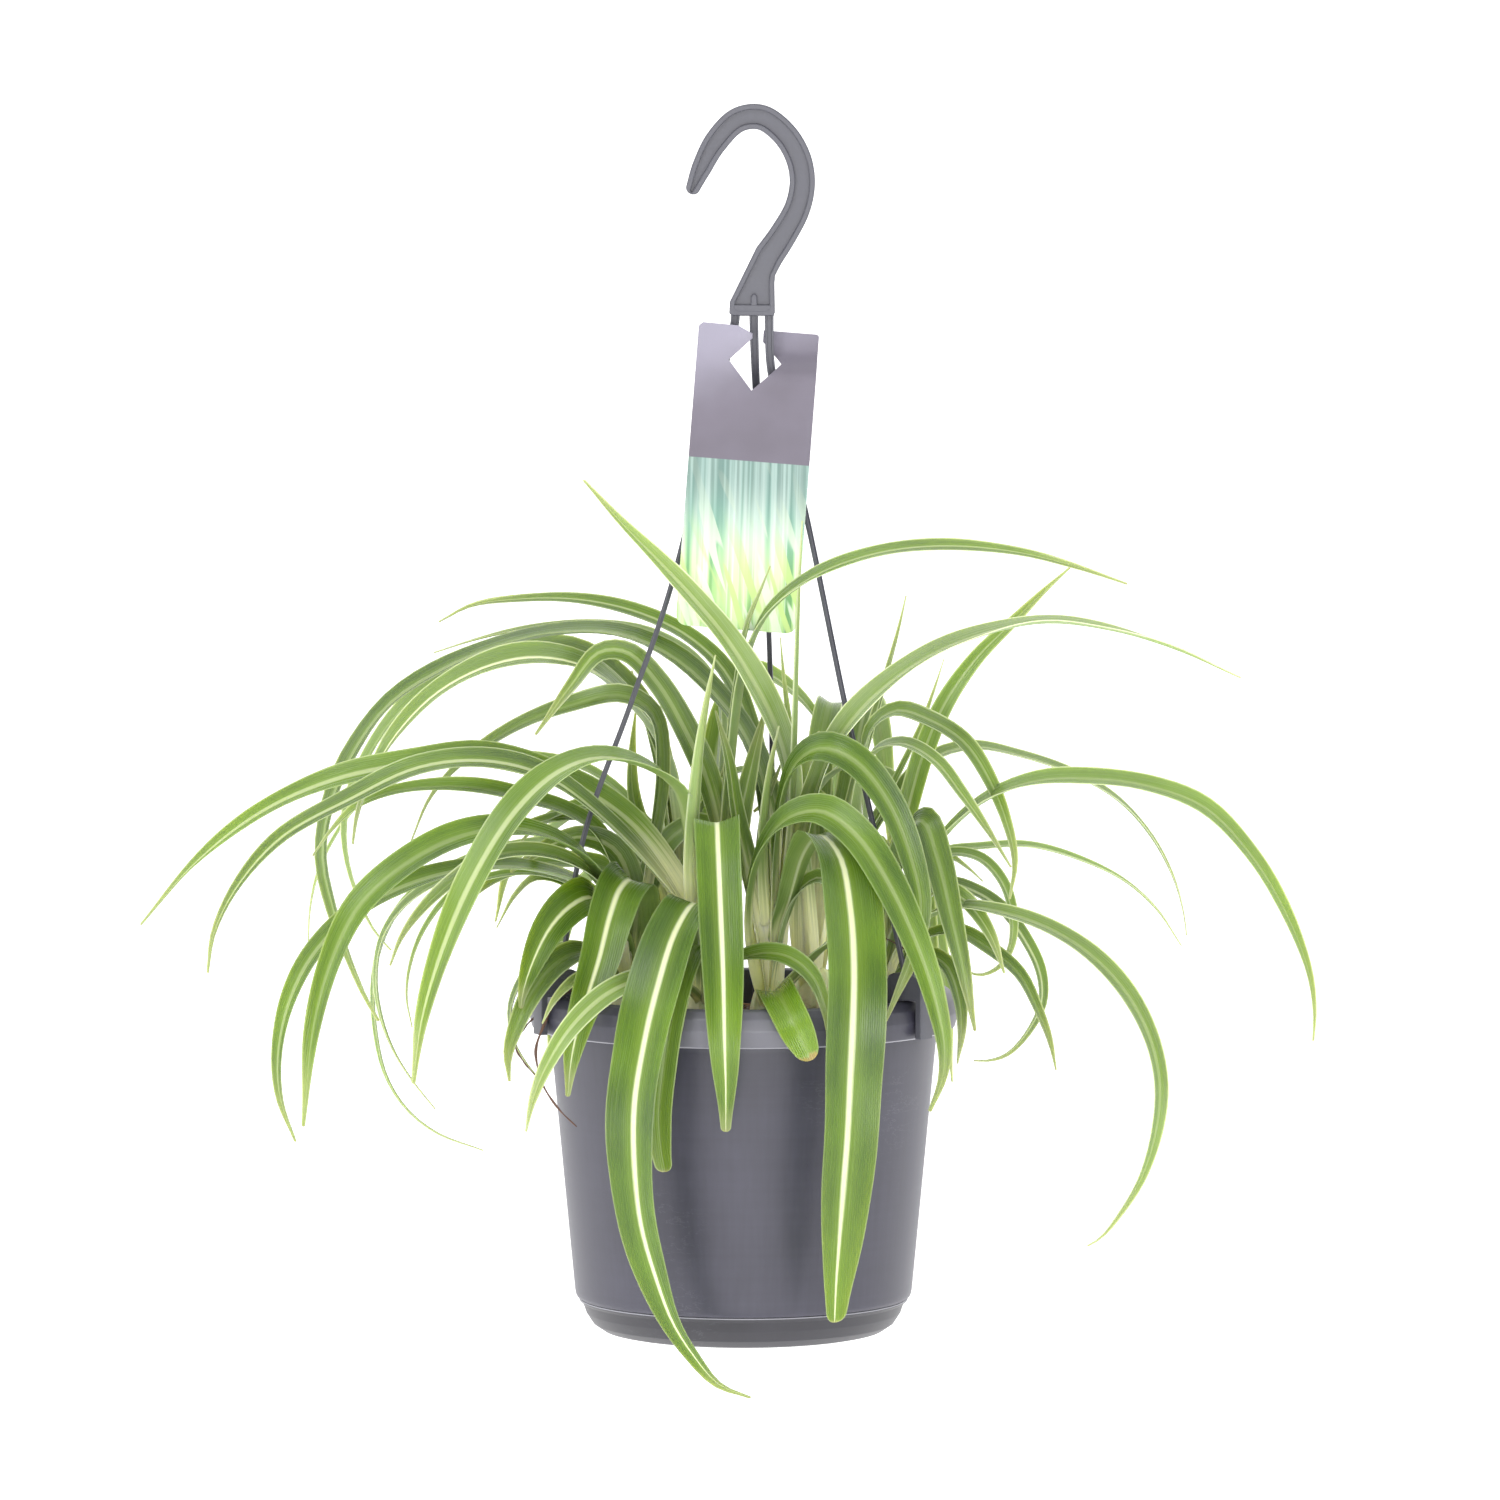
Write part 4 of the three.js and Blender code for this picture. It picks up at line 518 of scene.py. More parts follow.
def rolled(vector, axis, degrees):
    """The vector turned about the axis."""
    angle = math.radians(degrees)
    part = vector * math.cos(angle) + np.cross(axis, vector) * math.sin(angle)
    return part + axis * np.dot(axis, vector) * (1 - math.cos(angle))


# ---- pieces ----
def make_piece(name, points, faces, materials, node=None, sharp_above=40, kinds=None):
    """A smooth-shaded mesh from points in millimetres, which takes the place of a CAD node."""
    mesh = bpy.data.meshes.new(name)
    mesh.from_pydata(to_row(points).tolist(), [], faces)
    for material in materials:
        mesh.materials.append(material)
    if kinds is not None:
        mesh.polygons.foreach_set("material_index", np.asarray(kinds, np.int32))
    mesh.shade_smooth()
    if sharp_above:
        mesh.set_sharp_from_angle(angle=math.radians(sharp_above))
    piece = bpy.data.objects.new(name, mesh)
    bpy.context.scene.collection.objects.link(piece)
    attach(piece, "root")
    if node:
        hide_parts(node)
    return piece


def add_values(piece, **values):
    """Gives every point of a piece a number for its material to read."""
    for name, numbers in values.items():
        layer = piece.data.attributes.new(name, "FLOAT", "POINT")
        layer.data.foreach_set("value", np.asarray(numbers, np.float32))


def rounded(profile, radius, steps=3):
    """The profile with each inner corner cut by a small arc."""
    profile = [np.asarray(point, float) for point in profile]
    result = [profile[0]]
    for before, corner, after in zip(profile, profile[1:], profile[2:]):
        back, on = before - corner, after - corner
        room = min(radius, 0.4 * np.linalg.norm(back), 0.4 * np.linalg.norm(on))
        start, end = corner + unit(back) * room, corner + unit(on) * room
        for i in range(steps + 1):
            t = i / steps
            result.append((1 - t) ** 2 * start + 2 * t * (1 - t) * corner + t**2 * end)
    result.append(profile[-1])
    return result


def turned(profile, sides):
    """Points and faces of a profile of [radius, height] turned round the Z axis."""
    points, faces, rings = [], [], []
    for radius, height in profile:
        if radius < 1e-6:
            rings.append([len(points)] * sides)
            points.append([0, 0, height])
            continue
        rings.append(list(range(len(points), len(points) + sides)))
        for i in range(sides):
            angle = 2 * math.pi * i / sides
            points.append([radius * math.cos(angle), radius * math.sin(angle), height])
    for ring, above in zip(rings, rings[1:]):
        for i in range(sides):
            j = (i + 1) % sides
            face = [ring[i], ring[j], above[j], above[i]]
            faces.append([corner for n, corner in enumerate(face) if corner not in face[:n]])
    return points, faces


def swept(rings):
    """Points and faces of a closed skin over a row of equal rings."""
    count = len(rings[0])
    points = [point for ring in rings for point in ring]
    faces = []
    for i in range(len(rings) - 1):
        for j in range(count):
            k = (j + 1) % count
            faces.append([i * count + j, i * count + k, (i + 1) * count + k, (i + 1) * count + j])
    last = (len(rings) - 1) * count
    faces.append(list(range(count))[::-1])
    faces.append(list(range(last, last + count)))
    return points, faces


def joined(parts):
    """Points and faces of several parts as one."""
    points, faces = [], []
    for part_points, part_faces in parts:
        start = len(points)
        points.extend(part_points)
        faces.extend([[corner + start for corner in face] for face in part_faces])
    return points, faces


def flat_part(outlines, half_thickness, bevel):
    """Points and faces of outlines in the X-Z plane, holes among them, thickened with rounded edges."""
    curve = bpy.data.curves.new("outline", "CURVE")
    curve.dimensions = "2D"
    curve.fill_mode = "BOTH"
    curve.extrude = half_thickness - bevel
    curve.bevel_depth = bevel
    curve.bevel_resolution = 2
    curve.offset = -bevel
    for outline in outlines:
        spline = curve.splines.new("POLY")
        spline.points.add(len(outline) - 1)
        for point, (x, z) in zip(spline.points, outline):
            point.co = (x, z, 0, 1)
        spline.use_cyclic_u = True
    holder = bpy.data.objects.new("outline", curve)
    bpy.context.scene.collection.objects.link(holder)
    mesh = bpy.data.meshes.new_from_object(holder.evaluated_get(bpy.context.evaluated_depsgraph_get()))
    points = [[v.co.x, -v.co.z, v.co.y] for v in mesh.vertices]
    faces = [list(face.vertices) for face in mesh.polygons]
    bpy.data.objects.remove(holder)
    bpy.data.curves.remove(curve)
    bpy.data.meshes.remove(mesh)
    return points, faces


# ---- pot, saucer and soil ----
def wall_radius(height):
    """The pot's outer radius at a height."""
    share = (height - WALL_LOW) / (WALL_HIGH - WALL_LOW)
    return WALL_FOOT_RADIUS + share * (WALL_TOP_RADIUS - WALL_FOOT_RADIUS)


def soil_height(radius):
    """The height of the soil's domed top at a radius."""
    share = min(1, radius / (WALL_TOP_RADIUS - WALL))
    return SOIL_CROWN - (SOIL_CROWN - SOIL_EDGE) * share * share


def pot_parts():
    """The pot: foot ring, shoulder, wall and turned-down skirt outside, then back down inside."""
    profile = [
        [0, 3.4], [46, 3.4], [47.5, 1.9], [51.5, 1.9], [57.3, 4.6], [60.4, 9.2],
        [61.3, SHOULDER_HEIGHT - 0.4], [SHOULDER_RADIUS, SHOULDER_HEIGHT + 0.2], [64.6, 13.72],
        [65.2, 13.78], [65.8, 14.1], [66.4, 15.2], [WALL_FOOT_RADIUS, WALL_LOW],
        [WALL_TOP_RADIUS, WALL_HIGH], [77, 130.5], [79.6, 132.6], [82.3, 128], [82, SKIRT_BOTTOM + 0.6],
        [82.8, SKIRT_BOTTOM], [83.6, SKIRT_BOTTOM + 0.8], [RIM_RADIUS, 128], [84, 132.6],
        [81.4, 135.4], [79, RIM_TOP], [76.9, RIM_TOP - 0.9], [75.6, 131],
        [WALL_TOP_RADIUS - WALL, WALL_HIGH], [WALL_FOOT_RADIUS - WALL, 17.4], [60, 11.4], [56.6, 6.4],
        [50, POT_FLOOR_TOP], [0, POT_FLOOR_TOP],
    ]
    return turned(rounded(profile, 0.5), POT_SIDES)


def saucer_parts():
    """The saucer, whose lip lies against the pot's shoulder."""
    profile = [
        [0, 0], [51.5, 0], [55.6, 0.9], [59.6, 3.6], [62.3, 7.8], [63.6, 11.6], [65, 12.6], [65.2, 13.4],
        [64.7, 13.62], [63.2, 13.5], [61.7, 12.8], [60.8, 8.9], [57.6, 4.3], [51.6, 1.6], [0, 1.6],
    ]
    return turned(rounded(profile, 0.3), POT_SIDES)


def soil_parts():
    """The potting mix: a plug that fills the pot, with a crumbly top."""
    edge = wall_radius(SOIL_EDGE) - WALL - GAP
    side = [
        [0, POT_FLOOR_TOP + GAP], [49.8, POT_FLOOR_TOP + GAP], [56.2, 6.8], [59.5, 11.6],
        [WALL_FOOT_RADIUS - WALL - GAP, 17.6], [edge, SOIL_EDGE - 1.5],
    ]
    top = [[radius, soil_height(radius)] for radius in np.linspace(edge, 0, 44)]
    points, faces = turned(side + top, SOIL_SIDES)
    for point in points:
        radius = math.hypot(point[0], point[1])
        if point[2] < SOIL_EDGE - 1:
            continue
        place = Vector(point)
        crumbs = noise.fractal(place * 0.16, 0.6, 2.0, 4) * 1.5 + noise.noise(place * 0.9) * 0.5
        point[2] += crumbs * (1 - 0.7 * smoothstep(radius, edge - 4, edge)) - 0.7
    return points, faces


def soil_bits(count, seed):
    """Bark chips and crumbs lying on the potting mix."""
    draw = random.Random(seed)
    parts, tones = [], []
    for _ in range(count):
        radius = BARK_REACH * math.sqrt(draw.random())
        angle = draw.uniform(0, 2 * math.pi)
        centre = np.array([radius * math.cos(angle), radius * math.sin(angle), soil_height(radius) - 0.2])
        size = draw.uniform(*BARK_SIZES)
        stretch = np.array([draw.uniform(*span) for span in (BARK_LENGTHS, BARK_WIDTHS, BARK_HEIGHTS)]) * size
        turn = draw.uniform(0, 2 * math.pi)
        cos, sin = math.cos(turn), math.sin(turn)
        ball = bmesh.new()
        bmesh.ops.create_icosphere(ball, subdivisions=1, radius=1)
        points = []
        for corner in ball.verts:
            x, y, z = np.array(corner.co) * stretch * draw.uniform(*BARK_ROUGHNESS)
            points.append(centre + [x * cos - y * sin, x * sin + y * cos, z])
        faces = [[corner.index for corner in face.verts] for face in ball.faces]
        ball.free()
        parts.append((points, faces))
        tones.extend([draw.random()] * len(points))
    points, faces = joined(parts)
    return points, faces, tones


# ---- the plant ----
def random_from(seed):
    """A small repeatable random generator."""
    state = seed
    while True:
        state = state * DRAW_FACTOR % DRAW_RANGE
        yield state / DRAW_RANGE


def back_blades(crown, rule):
    """A crown's blades that only show from behind, made by their rule."""
    draws = random_from(rule["seed"])
    x, y = crown
    blades = []
    for i in range(rule["count"]):
        bearing = math.radians(between([rule["from"], rule["to"]], i / (rule["count"] - 1)))
        reach = between(BACK_REACH, next(draws))
        rise = between(BACK_RISE, next(draws))
        width = between(BACK_WIDTH, next(draws))
        drop = between(BACK_DROP, next(draws))
        outline = [[out * reach, SOIL_CROWN + up * rise] for out, up in BACK_ARCH]
        hanging = SOIL_CROWN + BACK_ARCH[-1][1] * rise
        outline += [[reach, hanging - 0.45 * drop], [reach * 1.08, hanging - drop]]
        cos, sin = math.cos(bearing), math.sin(bearing)
        route = [[x + out * cos, y + out * sin, height] for out, height in outline]
        blades.append((width, [0, 0, 0], STRAP, route))
    return blades


def blade_share(shape, along):
    """How wide a blade of a shape is at a place along its length, as a share of its full width."""
    place = along * (len(shape) - 1)
    k = min(int(place), len(shape) - 2)
    t = place - k
    a, b, c, d = shape[max(k - 1, 0)], shape[k], shape[k + 1], shape[min(k + 2, len(shape) - 1)]
    bend = (2 * a - 5 * b + 4 * c - d) * t * t + (3 * b - a - 3 * c + d) * t**3
    return b + 0.5 * ((c - a) * t + bend)


def turn_at(turn, along):
    """How far a blade's upper side is turned to the front at a place along it, in degrees."""
    return between(turn[:2], along * 2) if along < 0.5 else between(turn[1:], along * 2 - 1)


def blade_frames(route):
    """Centre, direction, across and up at even steps, the length, and the side that the blade leans to."""
    route = np.asarray(route, float)
    centres, tangents, length = along_curve(route, np.linspace(0, 1, FRAME_STEPS + 1))
    lean = (route - route[0]).sum(axis=0)
    lean[2] = 0
    across = unit(np.cross(lean, UP))
    frames = []
    for centre, tangent in zip(centres, tangents):
        across = unit(across - tangent * np.dot(across, tangent))
        frames.append((centre, tangent, across, np.cross(across, tangent)))
    return frames, length, math.copysign(1, route[-1][0] - route[0][0])


def frame_at(frames, place):
    """The frame at a place between two steps."""
    low = min(int(place), len(frames) - 2)
    share = place - low
    return [a + (b - a) * share for a, b in zip(frames[low], frames[low + 1])]


def blade_look(width, apex, highest, look, draw):
    """A blade's ripple, the length of its dry end, and the numbers that its colours follow from."""
    ripple = draw.uniform(*RIPPLE_STARTS)
    tone = draw.random()
    stripe, mark = draw.uniform(*STRIPE_WIDTHS), draw.uniform(*STRIPE_STRENGTHS)
    if width > BOLD_WIDTH:
        tone, stripe, mark = BOLD_TONE + BOLD_TONE_SPREAD * tone, BOLD_STRIPE, 1
    foot = min(max(FOOT_SHARE * apex, FOOT_LENGTHS[0]), FOOT_LENGTHS[1])
    bloom_and_sheen = LEAST_BLOOM_AND_SHEEN if mark == 1 else 0.02 + 0.3 * mark
    # blades that rise high get more painted sheen, as they catch the light from above
    if width < SLIM_WIDTH or highest > HIGH_UP:
        bloom_and_sheen = draw.uniform(*SLIM_BLOOM_AND_SHEEN)
    dry_end = 0
    if look == "plain and pale":
        mark, bloom_and_sheen = PLAIN_MARK, PLAIN_BLOOM_AND_SHEEN
    if look == "dry at its end":
        tone, dry_end = DRY_TONE, DRY_LENGTH
    return ripple, dry_end, [stripe, tone, mark, foot, bloom_and_sheen]


def blade_skin(count):
    """The faces over a blade's rows of upper points and then its rows of lower ones, and each face's kind:
    0 for the upper side and the edges, 1 for the underside."""
    row = len(PLACES)
    under = count * row
    faces, kinds = [], []
    for i in range(count - 1):
        for j in range(row - 1):
            a = i * row + j
            b = a + row
            faces.append([a, a + 1, b + 1, b])
            faces.append([under + a, under + b, under + b + 1, under + a + 1])
            kinds.extend([0, 1])
        first, last = i * row, (i + 1) * row - 1
        faces.append([first, first + row, under + first + row, under + first])
        faces.append([last, under + last, under + last + row, last + row])
        kinds.extend([0, 0])
    tip = (count - 1) * row
    for j in range(row - 1):
        faces.append([j, under + j, under + j + 1, j + 1])
        faces.append([tip + j, tip + j + 1, under + tip + j + 1, under + tip + j])
        kinds.extend([0, 0])
    return faces, kinds


def blade_parts(blade, draw, look=None):
    """A blade's points and faces, the faces' kinds, and for each point its place on the blade."""
    width, turn, shape, route = blade
    frames, length, side = blade_frames(route)
    end_half = width * shape[-1] / 2
    tip_round = TIP_ROUND * end_half if end_half > BLUNT_END else 0
    stations = list(range(0, FRAME_STEPS, 1 if length > LONG_BLADE else 2)) + [FRAME_STEPS]
    if tip_round:
        stations += [FRAME_STEPS * (1 - tip_round * share / length) for share in TIP_STATIONS]
        stations.sort()
    heights = [frame[0][2] for frame in frames]
    apex = heights.index(max(heights)) / FRAME_STEPS * length
    ripple, dry_end, look_values = blade_look(width, apex, max(heights), look, draw)
    upper, lower, values = [], [], []
    for i in stations:
        centre, tangent, across, up = frame_at(frames, i)
        along = i / FRAME_STEPS
        distance = along * length
        angle = turn_at(turn, along) * side
        across, up = rolled(across, tangent, angle), rolled(up, tangent, angle)
        half = width * blade_share(shape, along) / 2
        if tip_round:
            inward = 1 - min(1, (length - distance) / tip_round)
            half *= math.sqrt(max(0, 1 - inward**2.4))
        half = max(half, LEAST_HALF)
        fold = between([FOOT_FOLD, BLADE_CHANNEL], smoothstep(distance, *FOLD_SPAN))
        thinned = between([1, 0.5], smoothstep(along, 0.6, 1))
        calmed = 1 - smoothstep(along, 0.9, 1)
        for place in PLACES:
            wave = RIPPLE_SHARE * width * math.sin(distance / RIPPLE_LENGTH + ripple + place) * abs(place)
            height = 2 * half * fold * abs(place) ** 1.25 + wave * calmed
            point = centre + across * place * half + up * height
            upper.append(point)
            lower.append(point - up * between([BLADE_THICKNESS, EDGE_THICKNESS], abs(place)) * thinned)
            values.append([place, distance, length - distance - dry_end, half] + look_values)
    faces, kinds = blade_skin(len(stations))
    return upper + lower, faces, kinds, values + values


def blade_route(crown, points):
    """A blade's whole route: up out of its crown, then along its points."""
    x, y = crown
    first = points[0]
    height = min(soil_height(math.hypot(x, y)) + 2, first[2] - 8)
    return [[x + ROOT_SPREAD * (first[0] - x), y + ROOT_SPREAD * (first[1] - y), height]] + points


def crown_parts(crown):
    """The pale ribbed sheath of leaf bases that stands in the soil, made like a blade's parts."""
    base = SOIL_CROWN - CROWN_HOLE_DEPTH + GAP
    profile = [
        [0, base], [CROWN_RADIUS - 1.5, base], [CROWN_RADIUS, base + 6], [CROWN_RADIUS, SOIL_CROWN + 3],
        [CROWN_RADIUS - 1.2, SOIL_CROWN + 9], [CROWN_RADIUS - 3, SOIL_CROWN + 14], [0, SOIL_CROWN + 16],
    ]
    points, faces = turned(rounded(profile, 4), CROWN_SIDES)
    values = []
    for point in points:
        angle = math.atan2(point[1], point[0])
        ribs = 1 + 0.035 * math.sin(7 * angle + point[2] * 0.05) + 0.02 * math.sin(17 * angle)
        rib, height = math.sin(7 * angle), point[2] - SOIL_CROWN
        point[0] = crown[0] + point[0] * ribs
        point[1] = crown[1] + point[1] * ribs
        values.append([rib, height] + [0] * (len(BLADE_VALUES) - 2))
    return points, faces, [2] * len(faces), values


def tuft_parts(name, draw):
    """A crown with all its blades: points, faces, kinds, and each point's row of values."""
    crown = CROWNS[name]
    blades = []
    for width, turn, shape, points in BLADES[name]:
        blades.append((width, turn, shape, [seen(point) for point in points]))
    if name in BACK_BLADES:
        blades += back_blades(crown, BACK_BLADES[name])
    looks = BLADE_LOOKS.get(name, {})
    parts = []
    for place, (width, turn, shape, route) in enumerate(blades):
        blade = (width, turn, shape, blade_route(crown, route))
        parts.append(blade_parts(blade, draw, looks.get(place)))
    parts.append(crown_parts(crown))
    points, faces = joined([part[:2] for part in parts])
    kinds = [kind for part in parts for kind in part[2]]
    return points, faces, kinds, np.array([row for part in parts for row in part[3]])


# ---- dry strands and hanger ----
def strand(route, radius):
    """A thin shrivelled tube along a route, tapered to its ends."""
    shares = np.linspace(0, 1, 60)
    centres, tangents, _ = along_curve(route, shares)
    rings = []
    for share, centre, tangent in zip(shares, centres, tangents):
        across = unit(np.cross(tangent, [0.3, 1, 0.2]))
        up = np.cross(across, tangent)
        taper = 0.35 + 0.65 * math.sin(math.pi * share) ** 0.5
        swell = radius * taper * (1 + 0.25 * math.sin(40 * share))
        angles = np.linspace(0, 2 * math.pi, 7)[:-1]
        rings.append([centre + swell * (across * math.cos(a) + up * 0.6 * math.sin(a)) for a in angles])
    return swept(rings)


def hook_outline(inset, steps=72):
    """The hook's outline, or one at a distance inside it."""
    line = np.array([[x, 0, z] for x, z, _ in HOOK_LINE])
    widths = np.array([width for _, _, width in HOOK_LINE])
    shares = np.linspace(0, 1, steps + 1)
    centres, tangents = curve_at(line, shares), directions_at(line, shares)
    halves = np.interp(shares * (len(line) - 1), range(len(line)), widths) / 2 - inset
    outer = [[c[0] - t[2] * h, c[2] + t[0] * h] for c, t, h in zip(centres, tangents, halves)]
    inner = [[c[0] + t[2] * h, c[2] - t[0] * h] for c, t, h in zip(centres, tangents, halves)]
    foot = []
    for x, z in HOOK_BLOCK:
        foot.append([x + math.copysign(inset, HOOK_BLOCK_MIDDLE - x), z + (inset if z < 405 else 0)])
    middle = (np.array(outer[0]) + inner[0]) / 2
    reach = (np.array(inner[0]) - outer[0]) / 2
    ahead = np.array([-tangents[0][0], -tangents[0][2]]) * (2.6 - 0.35 * inset)
    angles = np.linspace(0.35, math.pi - 0.35, 9)
    tip = [list(middle + reach * math.cos(a) + ahead * math.sin(a)) for a in angles]
    return tip + outer + foot[::-1] + inner[::-1]


def hook_parts():
    """The hook: a raised border round a thin web, with the bar and the peg of its head."""
    rim = flat_part([hook_outline(0), hook_outline(HOOK_BORDER)], HOOK_THICKNESS / 2, 0.45)
    web = flat_part([hook_outline(HOOK_BORDER - 0.6)], HOOK_WEB / 2, 0.1)
    peg_foot = HEAD_BOTTOM + 1
    peg_outline = [[3, peg_foot], [5.4, peg_foot], [5.4, 409], [4.8, 410.2], [3.6, 410.2], [3, 409]]
    peg = flat_part([peg_outline], HOOK_THICKNESS / 2 - 0.15, 0.4)
    bar_outline = [[-4.6, HEAD_BOTTOM], [12, HEAD_BOTTOM], [12.4, 406], [-5, 406]]
    bar = flat_part([bar_outline], HOOK_THICKNESS / 2 - 0.05, 0.4)
    return joined([rim, web, peg, bar])


def arm_section(half, deep):
    """An arm's section, with a channel along each face."""
    rib, web = half * 0.56, deep * 0.45
    upper = [
        [-half, -deep * 0.8], [-half, deep * 0.8], [-half + 0.2, deep], [-rib, deep], [-rib + 0.15, web],
        [rib - 0.15, web], [rib, deep], [half - 0.2, deep],
    ]
    return upper + [[-x, -y] for x, y in upper]


def arm_parts(arm):
    """A long slim arm with a channel along each face, and the clip that hooks over the pot's rim."""
    angle = math.radians(arm["bearing"])
    outward = np.array([math.cos(angle), math.sin(angle), 0])
    sideways = np.array([-outward[1], outward[0], 0])
    foot = outward * 78.5 + [0, 0, CLIP_TOP - 3]
    head = [[arm["head"], 0, ARM_TOP], [arm["head"], 0, HEAD_BOTTOM - 2]]
    route = head + [seen(point) for point in arm["route"]] + [foot]
    shares = np.linspace(0, 1, 81) ** 1.3
    centres, tangents, _ = along_curve(route, shares)
    rings = []
    for share, centre, tangent in zip(shares, centres, tangents):
        turn = float(smoothstep(share, 0.02, 0.3))
        across = np.array([math.copysign(1, sideways[0]), 0, 0]) * (1 - turn) + sideways * turn
        across = unit(across - tangent * np.dot(across, tangent))
        depth = np.cross(across, tangent)
        narrowed = min(1, share / ARM_TAPER)
        half = between([ARM_TOP_WIDTH, ARM_FOOT_WIDTH], narrowed) / 2
        deep = between([ARM_TOP_DEPTH, ARM_FOOT_DEPTH], narrowed) / 2
        rings.append([centre + across * x + depth * y for x, y in arm_section(half, deep)])
    rod = swept([ring[::-1] for ring in rings])
    inner, outer, over_rim = CLIP_INNER_RADIUS, CLIP_OUTER_RADIUS, RIM_TOP + GAP
    clip_outline = [
        [inner, 125.5], [inner, CLIP_TOP - 3.4], [inner + 1.2, CLIP_TOP - 0.9], [inner + 3.2, CLIP_TOP],
        [outer - 5.6, CLIP_TOP], [outer - 1.6, CLIP_TOP - 1.8], [outer, CLIP_TOP - 4.6], [outer, CLIP_BOTTOM],
        [RIM_RADIUS + 0.5, CLIP_BOTTOM], [RIM_RADIUS + 0.5, over_rim], [74.7, over_rim], [74.7, 125.5],
    ]
    points, faces = flat_part([clip_outline], CLIP_WIDTH / 2, 0.5)
    points = [outward * x + sideways * -y + [0, 0, z] for x, y, z in points]
    return joined([rod, (points, faces)])


# ---- label ----
def corner_arc(start, corner, end, steps=6):
    """Points of a rounded corner from start to end."""
    start, corner, end = (np.array(p, float) for p in (start, corner, end))
    shares = np.linspace(0, 1, steps + 1)
    return [list((1 - t) ** 2 * start + 2 * t * (1 - t) * corner + t**2 * end) for t in shares]


def label_outline():
    """The flat card's outline, with the slit and the diamond hole that it is slipped on by."""
    width, height, corner = LABEL_WIDTH, LABEL_HEIGHT, LABEL_CORNER
    outline = [[1.5, 0], [0, -1.5]]
    outline += corner_arc([0, corner - height], [0, -height], [corner, -height])
    outline += corner_arc([width - corner, -height], [width, -height], [width, corner - height])
    outline += [[width, RIGHT_TOP - 0.8], [width - 0.8, RIGHT_TOP]]
    outline += [[SLIT_RIGHT, RIGHT_TOP], [SLIT_RIGHT, -6.3], HOLE_RIGHT, HOLE_BOTTOM]
    return outline + [HOLE_LEFT, [SLIT_LEFT, -4.5], [SLIT_LEFT, -2.8], [15.3, 0]]


def fine_outline(outline, step):
    """The outline with points added so that none are further apart than step."""
    result = []
    for a, b in zip(outline, outline[1:] + outline[:1]):
        a, b = np.array(a, float), np.array(b, float)
        count = max(1, math.ceil(np.linalg.norm(b - a) / step))
        result += [list(a + (b - a) * i / count) for i in range(count)]
    return result


def label_bend(across, height):
    """How far back the card lies at a place: it rests on the arms, and beside its slit it is sprung."""
    back = LABEL_SPRUNG_BACK * smoothstep(height, 378, 388) * smoothstep(across, 3, 8)
    forward = LABEL_SPRUNG_FORWARD * smoothstep(height, 378, 398) * smoothstep(across, -17, 0)
    forward *= 1 - smoothstep(across, 4.5, 6)
    return LABEL_REST_BACK + LABEL_LEAN * (height - LABEL_REST_HEIGHT) + back - forward


def card_parts(outline, thickness):
    """A bent card from its flat outline, and each point's place on the flat card."""
    edge = fine_outline(outline, 2)
    xs = np.arange(1, LABEL_WIDTH, 2)
    zs = np.arange(-LABEL_HEIGHT + 1, 0, 2)
    inside = [[x, z] for x in xs for z in zs]
    loop = [[i, (i + 1) % len(edge)] for i in range(len(edge))]
    flat, _, faces, _, _, _ = plane_geometry.delaunay_2d_cdt(
        [Vector(p) for p in edge + inside], loop, [list(range(len(edge)))], 1, 1e-4
    )
    tilt = math.radians(LABEL_TILT)
    left, top = LABEL_CORNER_AT
    front, back = [], []
    for x, z in flat:
        across = left + x * math.cos(tilt) + z * math.sin(tilt)
        height = top - x * math.sin(tilt) + z * math.cos(tilt)
        depth = float(label_bend(across, height))
        front.append([across, depth - thickness, height])
        back.append([across, depth, height])
    count = len(front)
    sides = dict.fromkeys(side for face in faces for side in zip(face, face[1:] + face[:1]))
    skin = [list(face) for face in faces]
    skin += [[corner + count for corner in face[::-1]] for face in faces]
    for a, b in sides:
        if (b, a) not in sides:
            skin.append([a, a + count, b + count, b])
    places = [[x, -z] for x, z in flat] * 2
    return front + back, skin, places


# ---- materials ----
def tint(red, green, blue):
    """A colour from its everyday 0-255 values."""
    shares = [value / 255 for value in (red, green, blue)]
    linear = [share / 12.92 if share < 0.0404 else ((share + 0.055) / 1.055) ** 2.4 for share in shares]
    return (*linear, 1)


